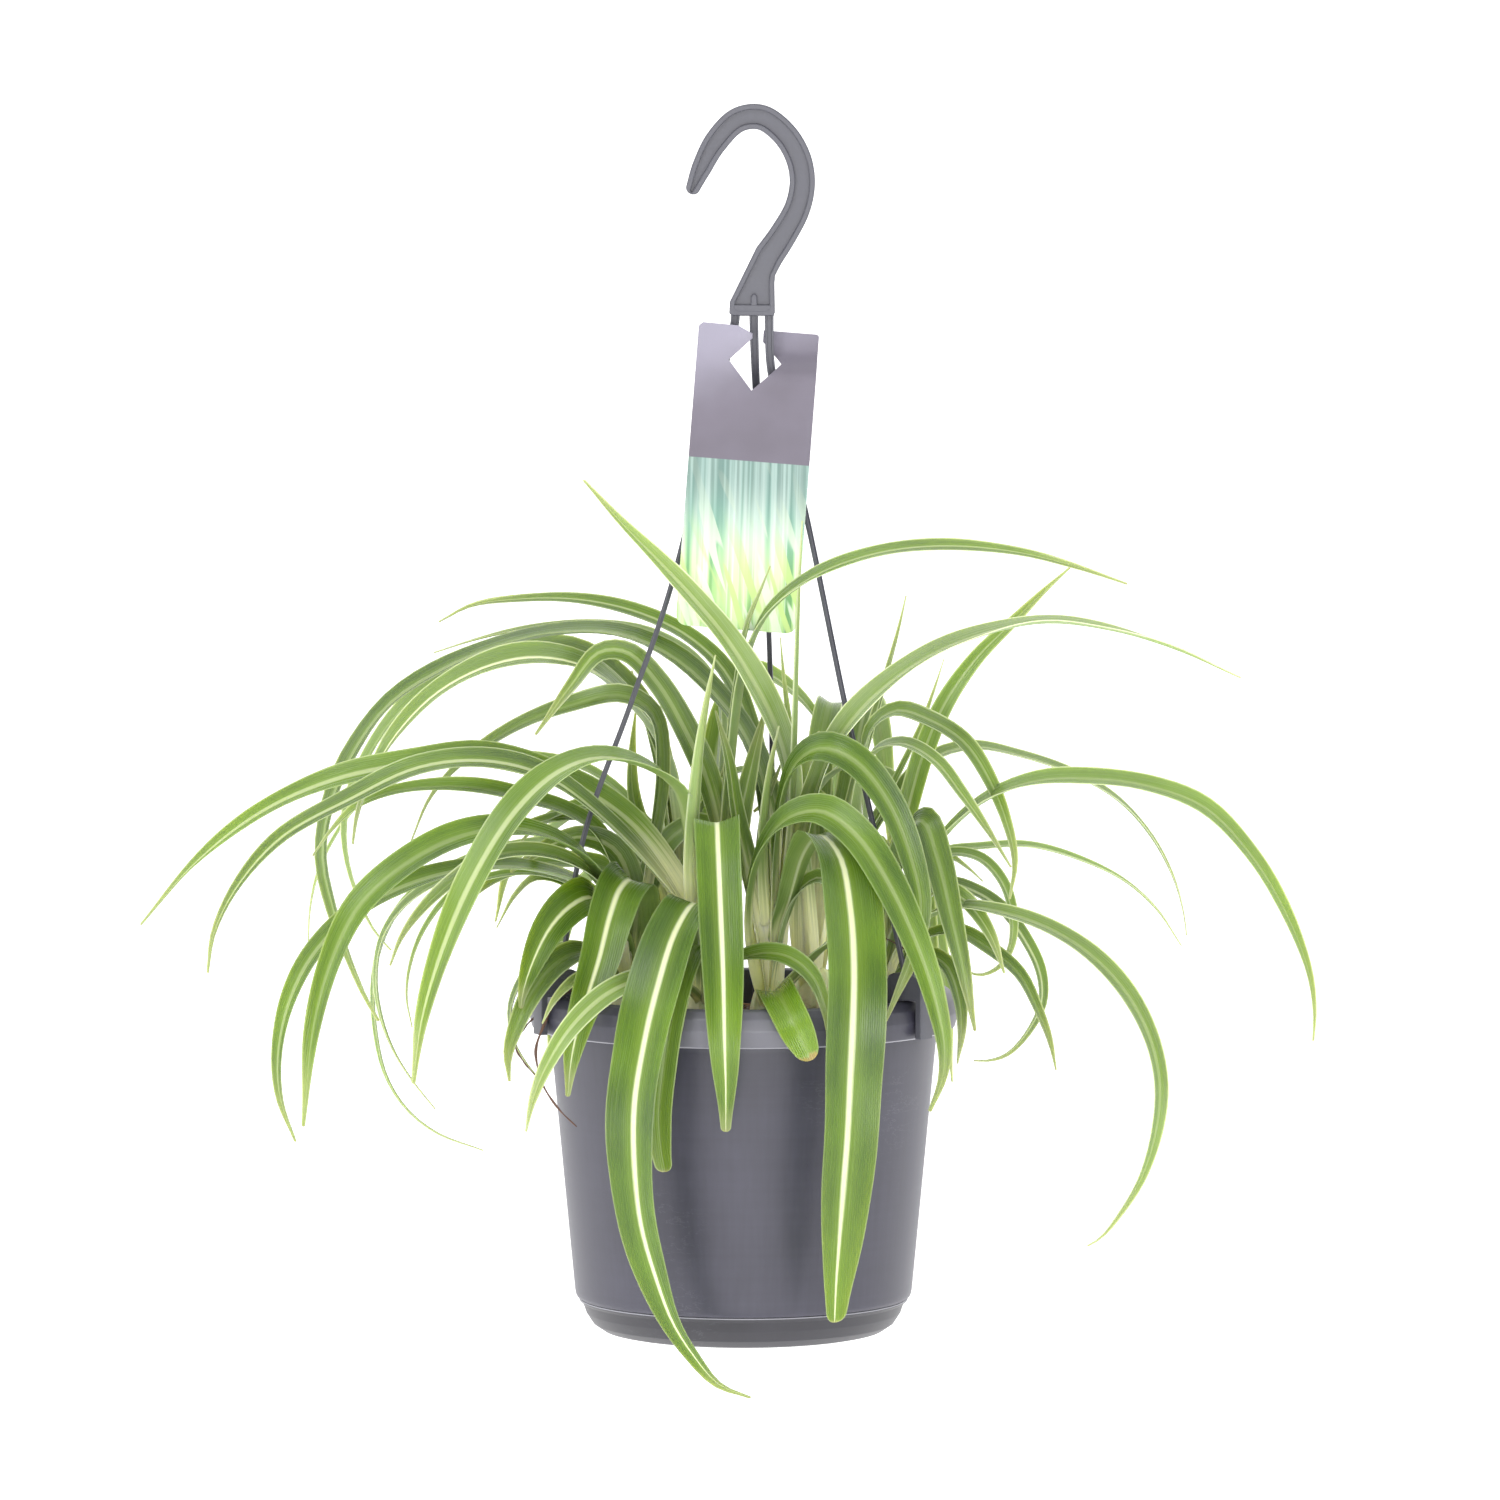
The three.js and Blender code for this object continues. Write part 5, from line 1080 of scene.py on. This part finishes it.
class Wiring:
    """A node tree in the making: each call adds one node and gives back what comes out of it."""

    def __init__(self, tree):
        self.tree = tree

    def add(self, kind, inputs=None, out=0, **settings):
        node = self.tree.nodes.new("ShaderNode" + kind)
        for name, value in settings.items():
            setattr(node, name, value)
        for socket, value in (inputs or {}).items():
            self.join(value, node.inputs[socket])
        return node.outputs[out]

    def join(self, value, socket):
        if isinstance(value, bpy.types.NodeSocket):
            self.tree.links.new(value, socket)
        else:
            socket.default_value = value

    def math(self, operation, first, second=0.0, third=0.0):
        return self.add("Math", {0: first, 1: second, 2: third}, operation=operation)

    def times(self, first, second):
        return self.math("MULTIPLY", first, second)

    def times_plus(self, first, second, third):
        """first times second, plus third."""
        return self.math("MULTIPLY_ADD", first, second, third)

    def mask(self, value, start, end):
        """0 where value is at start, 1 where it is at end, smooth between."""
        sockets = {"Value": value, "From Min": start, "From Max": end}
        return self.add("MapRange", sockets, interpolation_type="SMOOTHSTEP")

    def blend(self, share, first, second):
        return self.add("Mix", {0: share, 6: first, 7: second}, out=2, data_type="RGBA")

    def place(self, x, y, z):
        return self.add("CombineXYZ", {0: x, 1: y, 2: z})

    def stretch(self, place, scales):
        return self.add("VectorMath", {0: place, 1: scales}, operation="MULTIPLY")

    def speckle(self, place, scale, detail=2.0, roughness=0.5):
        sockets = {"Vector": place, "Scale": scale, "Detail": detail, "Roughness": roughness}
        return self.add("TexNoise", sockets)

    def value(self, name):
        return self.add("Attribute", out=2, attribute_name=name)

    def bump(self, height, strength, distance):
        return self.add("Bump", {"Height": height, "Strength": strength, "Distance": distance})

    def group(self, group, **inputs):
        node = self.tree.nodes.new("ShaderNodeGroup")
        node.node_tree = group
        for name, value in inputs.items():
            self.join(value, node.inputs[name.replace("_", " ")])
        return node.outputs


def make_group(name, inputs, wire):
    """A shader node group with named number inputs, and the outputs that a function wires up."""
    tree = bpy.data.node_groups.new(name, "ShaderNodeTree")
    for label, default in inputs.items():
        socket = tree.interface.new_socket(label, in_out="INPUT", socket_type="NodeSocketFloat")
        socket.default_value = default
    results = wire(Wiring(tree), tree.nodes.new("NodeGroupInput").outputs)
    for label in results:
        tree.interface.new_socket(label, in_out="OUTPUT", socket_type="NodeSocketFloat")
    sink = tree.nodes.new("NodeGroupOutput")
    for label, socket in results.items():
        tree.links.new(socket, sink.inputs[label])
    return tree


def wire_leaf_markings(net, source):
    """Where a blade's stripe, paler borders, pale foot and dry tip are, and its fine lengthwise veins."""
    across, distance, to_tip = source["Across"], source["Distance"], source["To Tip"]
    half, stripe, tone, foot = source["Half Width"], source["Stripe"], source["Tone"], source["Foot"]
    side = net.math("ABSOLUTE", across)
    sideways = net.times(across, half)

    def drawn_out(place, wide, long, offsets, detail):
        """Speckle stretched along the blade, with its own place for each blade's tone."""
        first, second = (net.times(tone, offset) for offset in offsets)
        x = net.times_plus(place, wide, first)
        return net.speckle(net.place(x, net.times(distance, long), second), 1.0, detail)

    streak = net.math("SUBTRACT", drawn_out(sideways, 0.7, 0.011, [41.0, 17.0], 3.0), 0.5)
    thread = net.math("SUBTRACT", drawn_out(sideways, 3.4, 0.02, [23.0, 9.0], 2.0), 0.5)
    slimmer = net.times_plus(net.mask(to_tip, 2.0, 60.0), 0.55, 0.45)
    wider = net.times(net.mask(distance, foot, net.times(foot, 0.3)), 0.2)
    width = net.times_plus(stripe, slimmer, wider)
    edge_place = net.times_plus(thread, 0.09, side)
    halo_place = net.times_plus(streak, 0.35, side)
    border = net.math("MINIMUM", net.times(net.math("SUBTRACT", 1.0, side), half), to_tip)
    foot_place = net.times_plus(streak, 40.0, net.times_plus(side, 8.0, distance))
    tip_place = net.times_plus(streak, 5.0, net.times_plus(tone, 2.2, to_tip))
    ridges = net.math("SINE", net.times_plus(thread, 5.0, net.times(sideways, 7.5)))
    keel = net.mask(side, 0.12, 0.0)
    height = net.times_plus(ridges, 0.35, net.times(keel, -1.5))
    return {
        "Stripe": net.mask(edge_place, net.math("ADD", width, 0.07), net.math("SUBTRACT", width, 0.05)),
        "Halo": net.mask(halo_place, net.math("ADD", width, 0.5), width),
        "Border": net.mask(net.times_plus(thread, 0.4, border), 0.75, 0.2),
        "Foot": net.mask(foot_place, foot, net.times(foot, 0.45)),
        "Dry Tip": net.mask(tip_place, 2.6, 0.8),
        "Streak": net.math("ADD", streak, 0.5),
        "Thread": net.math("ADD", thread, 0.5),
        "Patch": drawn_out(across, 0.35, 0.024, [67.0, 31.0], 2.0),
        "Pale Tip": net.times(net.mask(to_tip, 55.0, 4.0), net.mask(half, 3.5, 1.6)),
        "Veins": net.times_plus(thread, 0.8, height),
    }


def wire_moulded_skin(net, source):
    """The skin of moulded plastic: a faint cloudiness, a fine grain, drawn lines and a few scuffs."""
    place = net.add("TexCoord", out=3)
    scale = source["Scale"]
    parts = net.tree.nodes.new("ShaderNodeSeparateXYZ")
    net.join(place, parts.inputs[0])

    def drawn_out(scales, detail, roughness=0.5):
        """Speckle stretched by a scale for each direction."""
        stretched = [net.times(part, by) for part, by in zip(parts.outputs, scales)]
        return net.speckle(net.place(*stretched), 1.0, detail, roughness)

    grain = net.speckle(place, net.times(scale, 1400.0), 2.0)
    cloud = net.speckle(place, net.times(scale, 22.0), 4.0, 0.6)
    drawn = drawn_out([420.0, 420.0, 9.0], 3.0)
    rings = drawn_out([3.0, 3.0, 330.0], 2.0)
    scuff_line = drawn_out([60.0, 60.0, 190.0], 5.0, 0.65)
    scuff_area = net.speckle(place, 16.0, 2.0)
    near = net.mask(net.math("ABSOLUTE", net.math("SUBTRACT", scuff_line, 0.5)), 0.012, 0.0)
    scuffs = net.times(near, net.mask(scuff_area, 0.56, 0.68))
    lines = net.times_plus(rings, 0.4, net.times(drawn, 0.6))
    return {
        "Cloud": cloud,
        "Lines": lines,
        "Scuffs": scuffs,
        "Height": net.times_plus(grain, 0.35, net.times(lines, 0.65)),
    }


leaf_markings = make_group("leaf_markings", {
    "Across": 0.0,
    "Distance": 100.0,
    "To Tip": 100.0,
    "Half Width": 6.0,
    "Stripe": 0.14,
    "Tone": 0.5,
    "Foot": 50.0,
}, wire_leaf_markings)
moulded_skin = make_group("moulded_skin", {"Scale": 1.0}, wire_moulded_skin)


def start_material(name):
    """A new material's wiring and its shader."""
    material = bpy.data.materials.new(name)
    material.use_nodes = True
    shader = material.node_tree.nodes["Principled BSDF"]
    return material, Wiring(material.node_tree), shader


def finish_surface(net, shader, colour, roughness, bump):
    """Feeds a shader its colour, its roughness and its bumps."""
    net.join(colour, shader.inputs["Base Color"])
    net.join(roughness, shader.inputs["Roughness"])
    net.join(bump, shader.inputs["Normal"])


def leaf_material(name, deep, bright, bloom_and_sheen_colour, halo, stripe, border, foot, stripe_share, roughness, shine):
    """One side of a blade: deep to bright green, paler with waxy bloom and painted sheen, with its stripe,
    borders and foot.
    """
    material, net, shader = start_material(name)
    names = ["across", "distance", "to_tip", "half_width", "stripe", "tone", "foot"]
    marks = net.group(leaf_markings, **{name.title(): net.value(name) for name in names})
    tone, mark = net.value("tone"), net.value("mark")
    depth = net.times_plus(marks["Streak"], 0.2, net.times(tone, 0.6))
    depth = net.times_plus(marks["Thread"], 0.24, depth)
    depth = net.times_plus(marks["Patch"], 0.9, net.math("SUBTRACT", depth, 0.48))
    colour = net.blend(net.mask(depth, 0.1, 0.95), deep, bright)
    # painted sheen: the pale bloom colour also stands in for the gloss of light on the blades
    colour = net.blend(net.value("bloom_and_sheen"), colour, bloom_and_sheen_colour)
    colour = net.blend(net.times(marks["Halo"], 0.45), colour, halo)
    stripe_strength = net.times(net.times(marks["Stripe"], stripe_share), mark)
    colour = net.blend(stripe_strength, colour, stripe)
    edge_share = net.times_plus(net.value("bloom_and_sheen"), 1.6, 0.06)
    colour = net.blend(net.times(marks["Border"], edge_share), colour, border)
    colour = net.blend(marks["Foot"], colour, foot)
    colour = net.blend(net.times(marks["Pale Tip"], 0.4), colour, tint(146, 148, 110))
    dryness = net.times_plus(net.mask(tone, 0.6, 0.75), 0.65, 0.2)
    colour = net.blend(net.times(marks["Dry Tip"], dryness), colour, tint(146, 122, 74))
    rough = net.times_plus(marks["Thread"], 0.12, roughness - 0.06)
    rough = net.times_plus(marks["Stripe"], 0.06, rough)
    finish_surface(net, shader, colour, rough, net.bump(marks["Veins"], 0.35, 0.00018))
    shader.inputs["Specular IOR Level"].default_value = shine
    shader.inputs["Subsurface Weight"].default_value = 0.4
    shader.inputs["Subsurface Radius"].default_value = (0.9, 1.0, 0.3)
    shader.inputs["Subsurface Scale"].default_value = 0.0022
    return material


leaf_upper = leaf_material(
    "leaf_upper_side",
    deep=tint(38, 68, 2),
    bright=tint(90, 122, 15),
    bloom_and_sheen_colour=tint(150, 166, 120),
    halo=tint(116, 142, 50),
    stripe=tint(210, 215, 174),
    border=tint(196, 206, 168),
    foot=tint(244, 244, 196),
    stripe_share=0.96,
    roughness=0.27,
    shine=0.33,
)
leaf_under = leaf_material(
    "leaf_underside",
    deep=tint(72, 98, 38),
    bright=tint(120, 144, 72),
    bloom_and_sheen_colour=tint(154, 172, 122),
    halo=tint(140, 158, 92),
    stripe=tint(188, 196, 156),
    border=tint(198, 208, 170),
    foot=tint(240, 242, 184),
    stripe_share=0.6,
    roughness=0.5,
    shine=0.3,
)


def make_leaf_base():
    """The pale sheath at a crown's foot, with brown dry scales low down."""
    material, net, shader = start_material("leaf_base_sheath")
    height = net.value("distance")
    ribs = net.value("across")
    place = net.add("TexCoord", out=3)
    patches = net.speckle(place, 190.0, 4.0, 0.6)
    cream = net.blend(net.mask(height, 0.0, 16.0), tint(246, 240, 208), tint(222, 226, 164))
    cream = net.blend(net.times(net.mask(ribs, 0.2, 1.0), 0.3), cream, tint(168, 188, 104))
    scales = net.mask(net.times_plus(patches, 14.0, height), 10.0, 4.0)
    colour = net.blend(scales, cream, tint(96, 62, 38))
    rough = net.times_plus(scales, 0.35, 0.45)
    finish_surface(net, shader, colour, rough, net.bump(patches, 0.4, 0.0006))
    shader.inputs["Subsurface Weight"].default_value = 0.15
    shader.inputs["Subsurface Scale"].default_value = 0.002
    return material


def plastic_material(name, colour, pale, scale, roughness, scuff_share):
    """Dark moulded plastic, cloudy and a little scuffed, paler where a highlight is painted on."""
    material, net, shader = start_material(name)
    skin = net.group(moulded_skin, Scale=scale)
    share = net.times_plus(skin["Cloud"], 0.55, net.times(skin["Lines"], 0.4))
    shade = net.blend(net.mask(share, 0.3, 0.75), colour, pale)
    shade = net.blend(net.times(skin["Scuffs"], scuff_share), shade, tint(150, 150, 158))
    # painted highlight: paler plastic where the light catches the pot's rim band, its skirt edge and the
    # saucer's lip
    shade = net.blend(net.times(net.value("rubbed"), 0.6), shade, tint(170, 170, 178))
    rough = net.times_plus(skin["Cloud"], 0.14, roughness - 0.07)
    rough = net.times_plus(skin["Lines"], 0.08, rough)
    finish_surface(net, shader, shade, rough, net.bump(skin["Height"], 0.22, 0.00012))
    return material


def make_soil():
    """Dark damp potting mix with paler crumbs and fibres."""
    material, net, shader = start_material("damp_potting_mix")
    place = net.add("TexCoord", out=3)
    crumbs = net.speckle(place, 420.0, 5.0, 0.65)
    clods = net.speckle(place, 70.0, 4.0, 0.6)
    fibres = net.speckle(net.stretch(place, (900.0, 160.0, 500.0)), 1.0, 3.0)
    colour = net.blend(net.mask(clods, 0.35, 0.65), tint(34, 23, 17), tint(66, 45, 32))
    colour = net.blend(net.times(net.mask(crumbs, 0.55, 0.72), 0.6), colour, tint(110, 80, 56))
    colour = net.blend(net.times(net.mask(fibres, 0.66, 0.74), 0.5), colour, tint(150, 118, 82))
    rough = net.times_plus(clods, -0.25, 1.0)
    finish_surface(net, shader, colour, rough, net.bump(net.math("ADD", crumbs, clods), 0.9, 0.0012))
    return material


def make_bark():
    """Bark chips from dark to light brown, a few of them nearly white."""
    material, net, shader = start_material("bark_chips")
    place = net.add("TexCoord", out=3)
    fibres = net.speckle(net.stretch(place, (300.0, 1300.0, 900.0)), 1.0, 4.0)
    tone = net.value("tone")
    colour = net.blend(tone, tint(52, 33, 22), tint(128, 88, 56))
    colour = net.blend(net.mask(tone, 0.93, 0.96), colour, tint(214, 206, 190))
    colour = net.blend(net.times(net.mask(fibres, 0.45, 0.7), 0.6), colour, tint(40, 26, 18))
    rough = net.times_plus(fibres, 0.2, 0.75)
    finish_surface(net, shader, colour, rough, net.bump(fibres, 0.6, 0.0005))
    return material


def make_dry_strand():
    """Old leaf dried to dark brown."""
    material, net, shader = start_material("dry_leaf_strand")
    fibres = net.speckle(net.add("TexCoord", out=3), 800.0, 3.0)
    colour = net.blend(fibres, tint(46, 30, 26), tint(104, 74, 58))
    rough = net.times_plus(fibres, 0.2, 0.6)
    finish_surface(net, shader, colour, rough, net.bump(fibres, 0.5, 0.0003))
    return material


def make_label_card():
    """Mauve above, and below it soft bands, blue-green at first and pale yellow-green further down."""
    material, net, shader = start_material("printed_label_card")
    x, y = net.value("card_across"), net.value("card_down")
    straight = net.times_plus(y, -0.05, x)
    slanted = net.times_plus(y, -0.42, x)

    def drawn_out(across, wide, long, offset, detail):
        """Speckle over the card, stretched down it."""
        place = net.place(net.times(across, wide), net.times(y, long), offset)
        return net.speckle(place, 1.0, detail)

    bands = drawn_out(straight, 0.2, 0.009, 0.0, 1.0)
    thin = drawn_out(straight, 0.7, 0.006, 5.0, 2.0)
    blades = drawn_out(slanted, 0.17, 0.02, 9.0, 1.0)
    low = net.mask(y, PRINT_TOP + 16.0, LABEL_HEIGHT - 14.0)
    high = net.mask(y, PRINT_TOP + 42.0, PRINT_TOP + 4.0)
    ground = net.blend(low, tint(146, 184, 162), tint(146, 190, 112))
    light = net.blend(low, tint(190, 208, 194), tint(190, 210, 152))
    dark = net.blend(low, tint(104, 158, 136), tint(84, 142, 70))
    pattern = net.blend(net.mask(bands, 0.44, 0.58), ground, light)
    pattern = net.blend(net.mask(bands, 0.47, 0.38), pattern, dark)
    gleam = net.times(net.mask(thin, 0.52, 0.7), 0.6)
    pattern = net.blend(gleam, pattern, tint(218, 226, 214))
    fresh = net.times(net.mask(blades, 0.53, 0.58), low)
    pattern = net.blend(fresh, pattern, tint(172, 200, 116))
    faded = net.times(net.mask(blades, 0.42, 0.38), 0.8)
    pattern = net.blend(faded, pattern, tint(204, 218, 190))
    teal = net.blend(net.mask(thin, 0.35, 0.65), tint(72, 104, 98), tint(122, 148, 142))
    pattern = net.blend(net.times(high, 0.9), pattern, teal)
    glare = net.mask(net.math("ADD", net.times(x, 0.5), y), 42.0, 4.0)
    cloth = drawn_out(x, 0.05, 0.05, 8.0, 2.0)
    mauve = net.blend(net.mask(cloth, 0.3, 0.7), tint(77, 70, 84), tint(85, 78, 93))
    mauve = net.blend(net.times(glare, 0.46), mauve, tint(160, 157, 176))
    card = net.blend(net.mask(y, PRINT_TOP - 0.15, PRINT_TOP + 0.15), mauve, pattern)
    dots = drawn_out(x, 6.0, 6.0, 0.0, 2.0)
    colour = net.blend(net.times(dots, 0.08), card, tint(255, 255, 255))
    rough = net.times_plus(dots, 0.1, 0.46)
    finish_surface(net, shader, colour, rough, net.bump(dots, 0.12, 0.0001))
    return material


leaf_base = make_leaf_base()
pot_plastic = plastic_material(
    "pot_plastic", tint(45, 44, 56), tint(58, 57, 70), scale=1.0, roughness=0.38, scuff_share=0.1
)
saucer_plastic = plastic_material(
    "saucer_plastic", tint(33, 32, 38), tint(41, 40, 47), scale=1.0, roughness=0.42, scuff_share=0.1
)
hanger_plastic = plastic_material(
    "hanger_plastic", tint(66, 66, 74), tint(78, 78, 87), scale=2.0, roughness=0.4, scuff_share=0.15
)
soil_mix = make_soil()
bark = make_bark()
dry_leaf = make_dry_strand()
label_card = make_label_card()


def painted_highlight_at(point):
    """How much painted highlight the pot has at a point: a bright line along its skirt's lower edge, and a
    fainter glare on the band's front.
    """
    if abs(point[2] - SKIRT_BOTTOM) < 0.6:
        return 1.0
    on_band = point[1] < 0 and point[2] > SKIRT_BOTTOM
    return BAND_HIGHLIGHT * (1 - smoothstep(abs(point[0] + 2), *BAND_HIGHLIGHT_REACH)) if on_band else 0.0


# ---- the pieces ----
pot_points, pot_faces = pot_parts()
pot = make_piece("pot_moulded", pot_points, pot_faces, [pot_plastic], "pot", sharp_above=50)
# painted highlight on the pot's skirt edge and the front of its rim band
add_values(pot, rubbed=[painted_highlight_at(point) for point in pot_points])
saucer_points, saucer_faces = saucer_parts()
saucer = make_piece(
    "saucer_moulded", saucer_points, saucer_faces, [saucer_plastic], "drip_saucer",
    sharp_above=50,
)
# a painted highlight along the saucer's lip, where the light catches its edge
add_values(saucer, rubbed=[float(point[2] > LIP_HIGHLIGHT_FROM) for point in saucer_points])
soil_points, soil_faces = soil_parts()
make_piece("potting_mix", soil_points, soil_faces, [soil_mix], "potting_soil", sharp_above=60)
bit_points, bit_faces, bit_tones = soil_bits(BARK_COUNT, BARK_SEED)
bits = make_piece("bark_bits", bit_points, bit_faces, [bark], sharp_above=0)
add_values(bits, tone=bit_tones)

leaf_draw = random.Random(LEAF_SEED)
for crown_name in CROWNS:
    tuft_points, tuft_faces, tuft_kinds, tuft_values = tuft_parts(crown_name, leaf_draw)
    tuft = make_piece(
        "leaves_" + crown_name, tuft_points, tuft_faces, [leaf_upper, leaf_under, leaf_base],
        "tuft_" + crown_name, sharp_above=50, kinds=tuft_kinds,
    )
    add_values(tuft, **dict(zip(BLADE_VALUES, tuft_values.T)))

strands = [strand([seen(point) for point in route], radius) for radius, route in DRY_STRANDS]
strand_points, strand_faces = joined(strands)
make_piece("dry_strands", strand_points, strand_faces, [dry_leaf], sharp_above=60)

hook_points, hook_faces = hook_parts()
make_piece("hook_moulded", hook_points, hook_faces, [hanger_plastic], "hook")
for arm_name, arm in ARMS.items():
    arm_points, arm_faces = arm_parts(arm)
    make_piece(
        "arm_" + arm_name, arm_points, arm_faces, [hanger_plastic], "hanger_arm_" + arm_name,
        sharp_above=35,
    )

label_points, label_faces, label_places = card_parts(label_outline(), LABEL_THICKNESS)
label = make_piece("hang_label", label_points, label_faces, [label_card], "plant_label")
add_values(label, card_across=[p[0] for p in label_places], card_down=[p[1] for p in label_places])

# ---- camera ----
camera_lens = bpy.data.cameras.new("camera")
camera_lens.lens = CAMERA_LENS
camera_lens.sensor_width = CAMERA_SENSOR
camera_lens.clip_end = 1000
camera = bpy.data.objects.new("camera", camera_lens)
camera.location = to_row(CAMERA_PLACE)
camera.rotation_euler = (math.radians(90 - CAMERA_PITCH), 0, 0)
bpy.context.scene.collection.objects.link(camera)
bpy.context.scene.camera = camera


# ---- floor and light ----
def make_floor():
    """A plain pale floor."""
    material, net, shader = start_material("pale_floor")
    place = net.add("TexCoord", out=3)
    soft = net.speckle(place, 2.0, 2.0)
    net.join(net.blend(soft, (0.9, 0.9, 0.9, 1), (0.94, 0.94, 0.94, 1)), shader.inputs["Base Color"])
    shader.inputs["Roughness"].default_value = 0.9
    shader.inputs["Specular IOR Level"].default_value = 0.1
    shader.inputs["Emission Color"].default_value = (1, 1, 1, 1)
    shader.inputs["Emission Strength"].default_value = FLOOR_GLOW
    half = FLOOR_SIZE / 2
    height = to_row([0, 0, -FLOOR_DROP])[2]
    corners = [(x, y, height) for x, y in ((-half, -half), (half, -half), (half, half), (-half, half))]
    mesh = bpy.data.meshes.new("floor")
    mesh.from_pydata(corners, [], [[0, 1, 2, 3]])
    mesh.materials.append(material)
    floor = bpy.data.objects.new("floor", mesh)
    bpy.context.scene.collection.objects.link(floor)


def soft_lamp(name, place, wide, high, power, aim):
    """A broad soft lamp that faces what it is aimed at."""
    lamp = bpy.data.lights.new(name, "AREA")
    lamp.shape = "RECTANGLE"
    lamp.size = wide
    lamp.size_y = high
    lamp.energy = power
    holder = bpy.data.objects.new(name, lamp)
    holder.location = place
    holder.rotation_euler = (Vector(aim) - Vector(place)).to_track_quat("-Z", "Y").to_euler()
    bpy.context.scene.collection.objects.link(holder)


def make_sky():
    """Soft light from all round, stronger from above and from behind."""
    world = bpy.data.worlds.new("studio")
    world.use_nodes = True
    bpy.context.scene.world = world
    net = Wiring(world.node_tree)
    parts = world.node_tree.nodes.new("ShaderNodeSeparateXYZ")
    net.join(net.add("TexCoord", out=0), parts.inputs[0])
    strength = net.times_plus(net.mask(parts.outputs[2], -0.1, 0.9), SKY_ABOVE - SKY_BELOW, SKY_BELOW)
    strength = net.times_plus(net.mask(parts.outputs[1], 0.1, 0.9), SKY_BEHIND, strength)
    background = world.node_tree.nodes["Background"]
    net.join(strength, background.inputs["Strength"])
    background.inputs["Color"].default_value = (1, 1, 1, 1)


make_floor()
make_sky()
for lamp_name, lamp_settings in LAMPS.items():
    soft_lamp(lamp_name, *lamp_settings)
bpy.context.scene.view_settings.view_transform = "Standard"
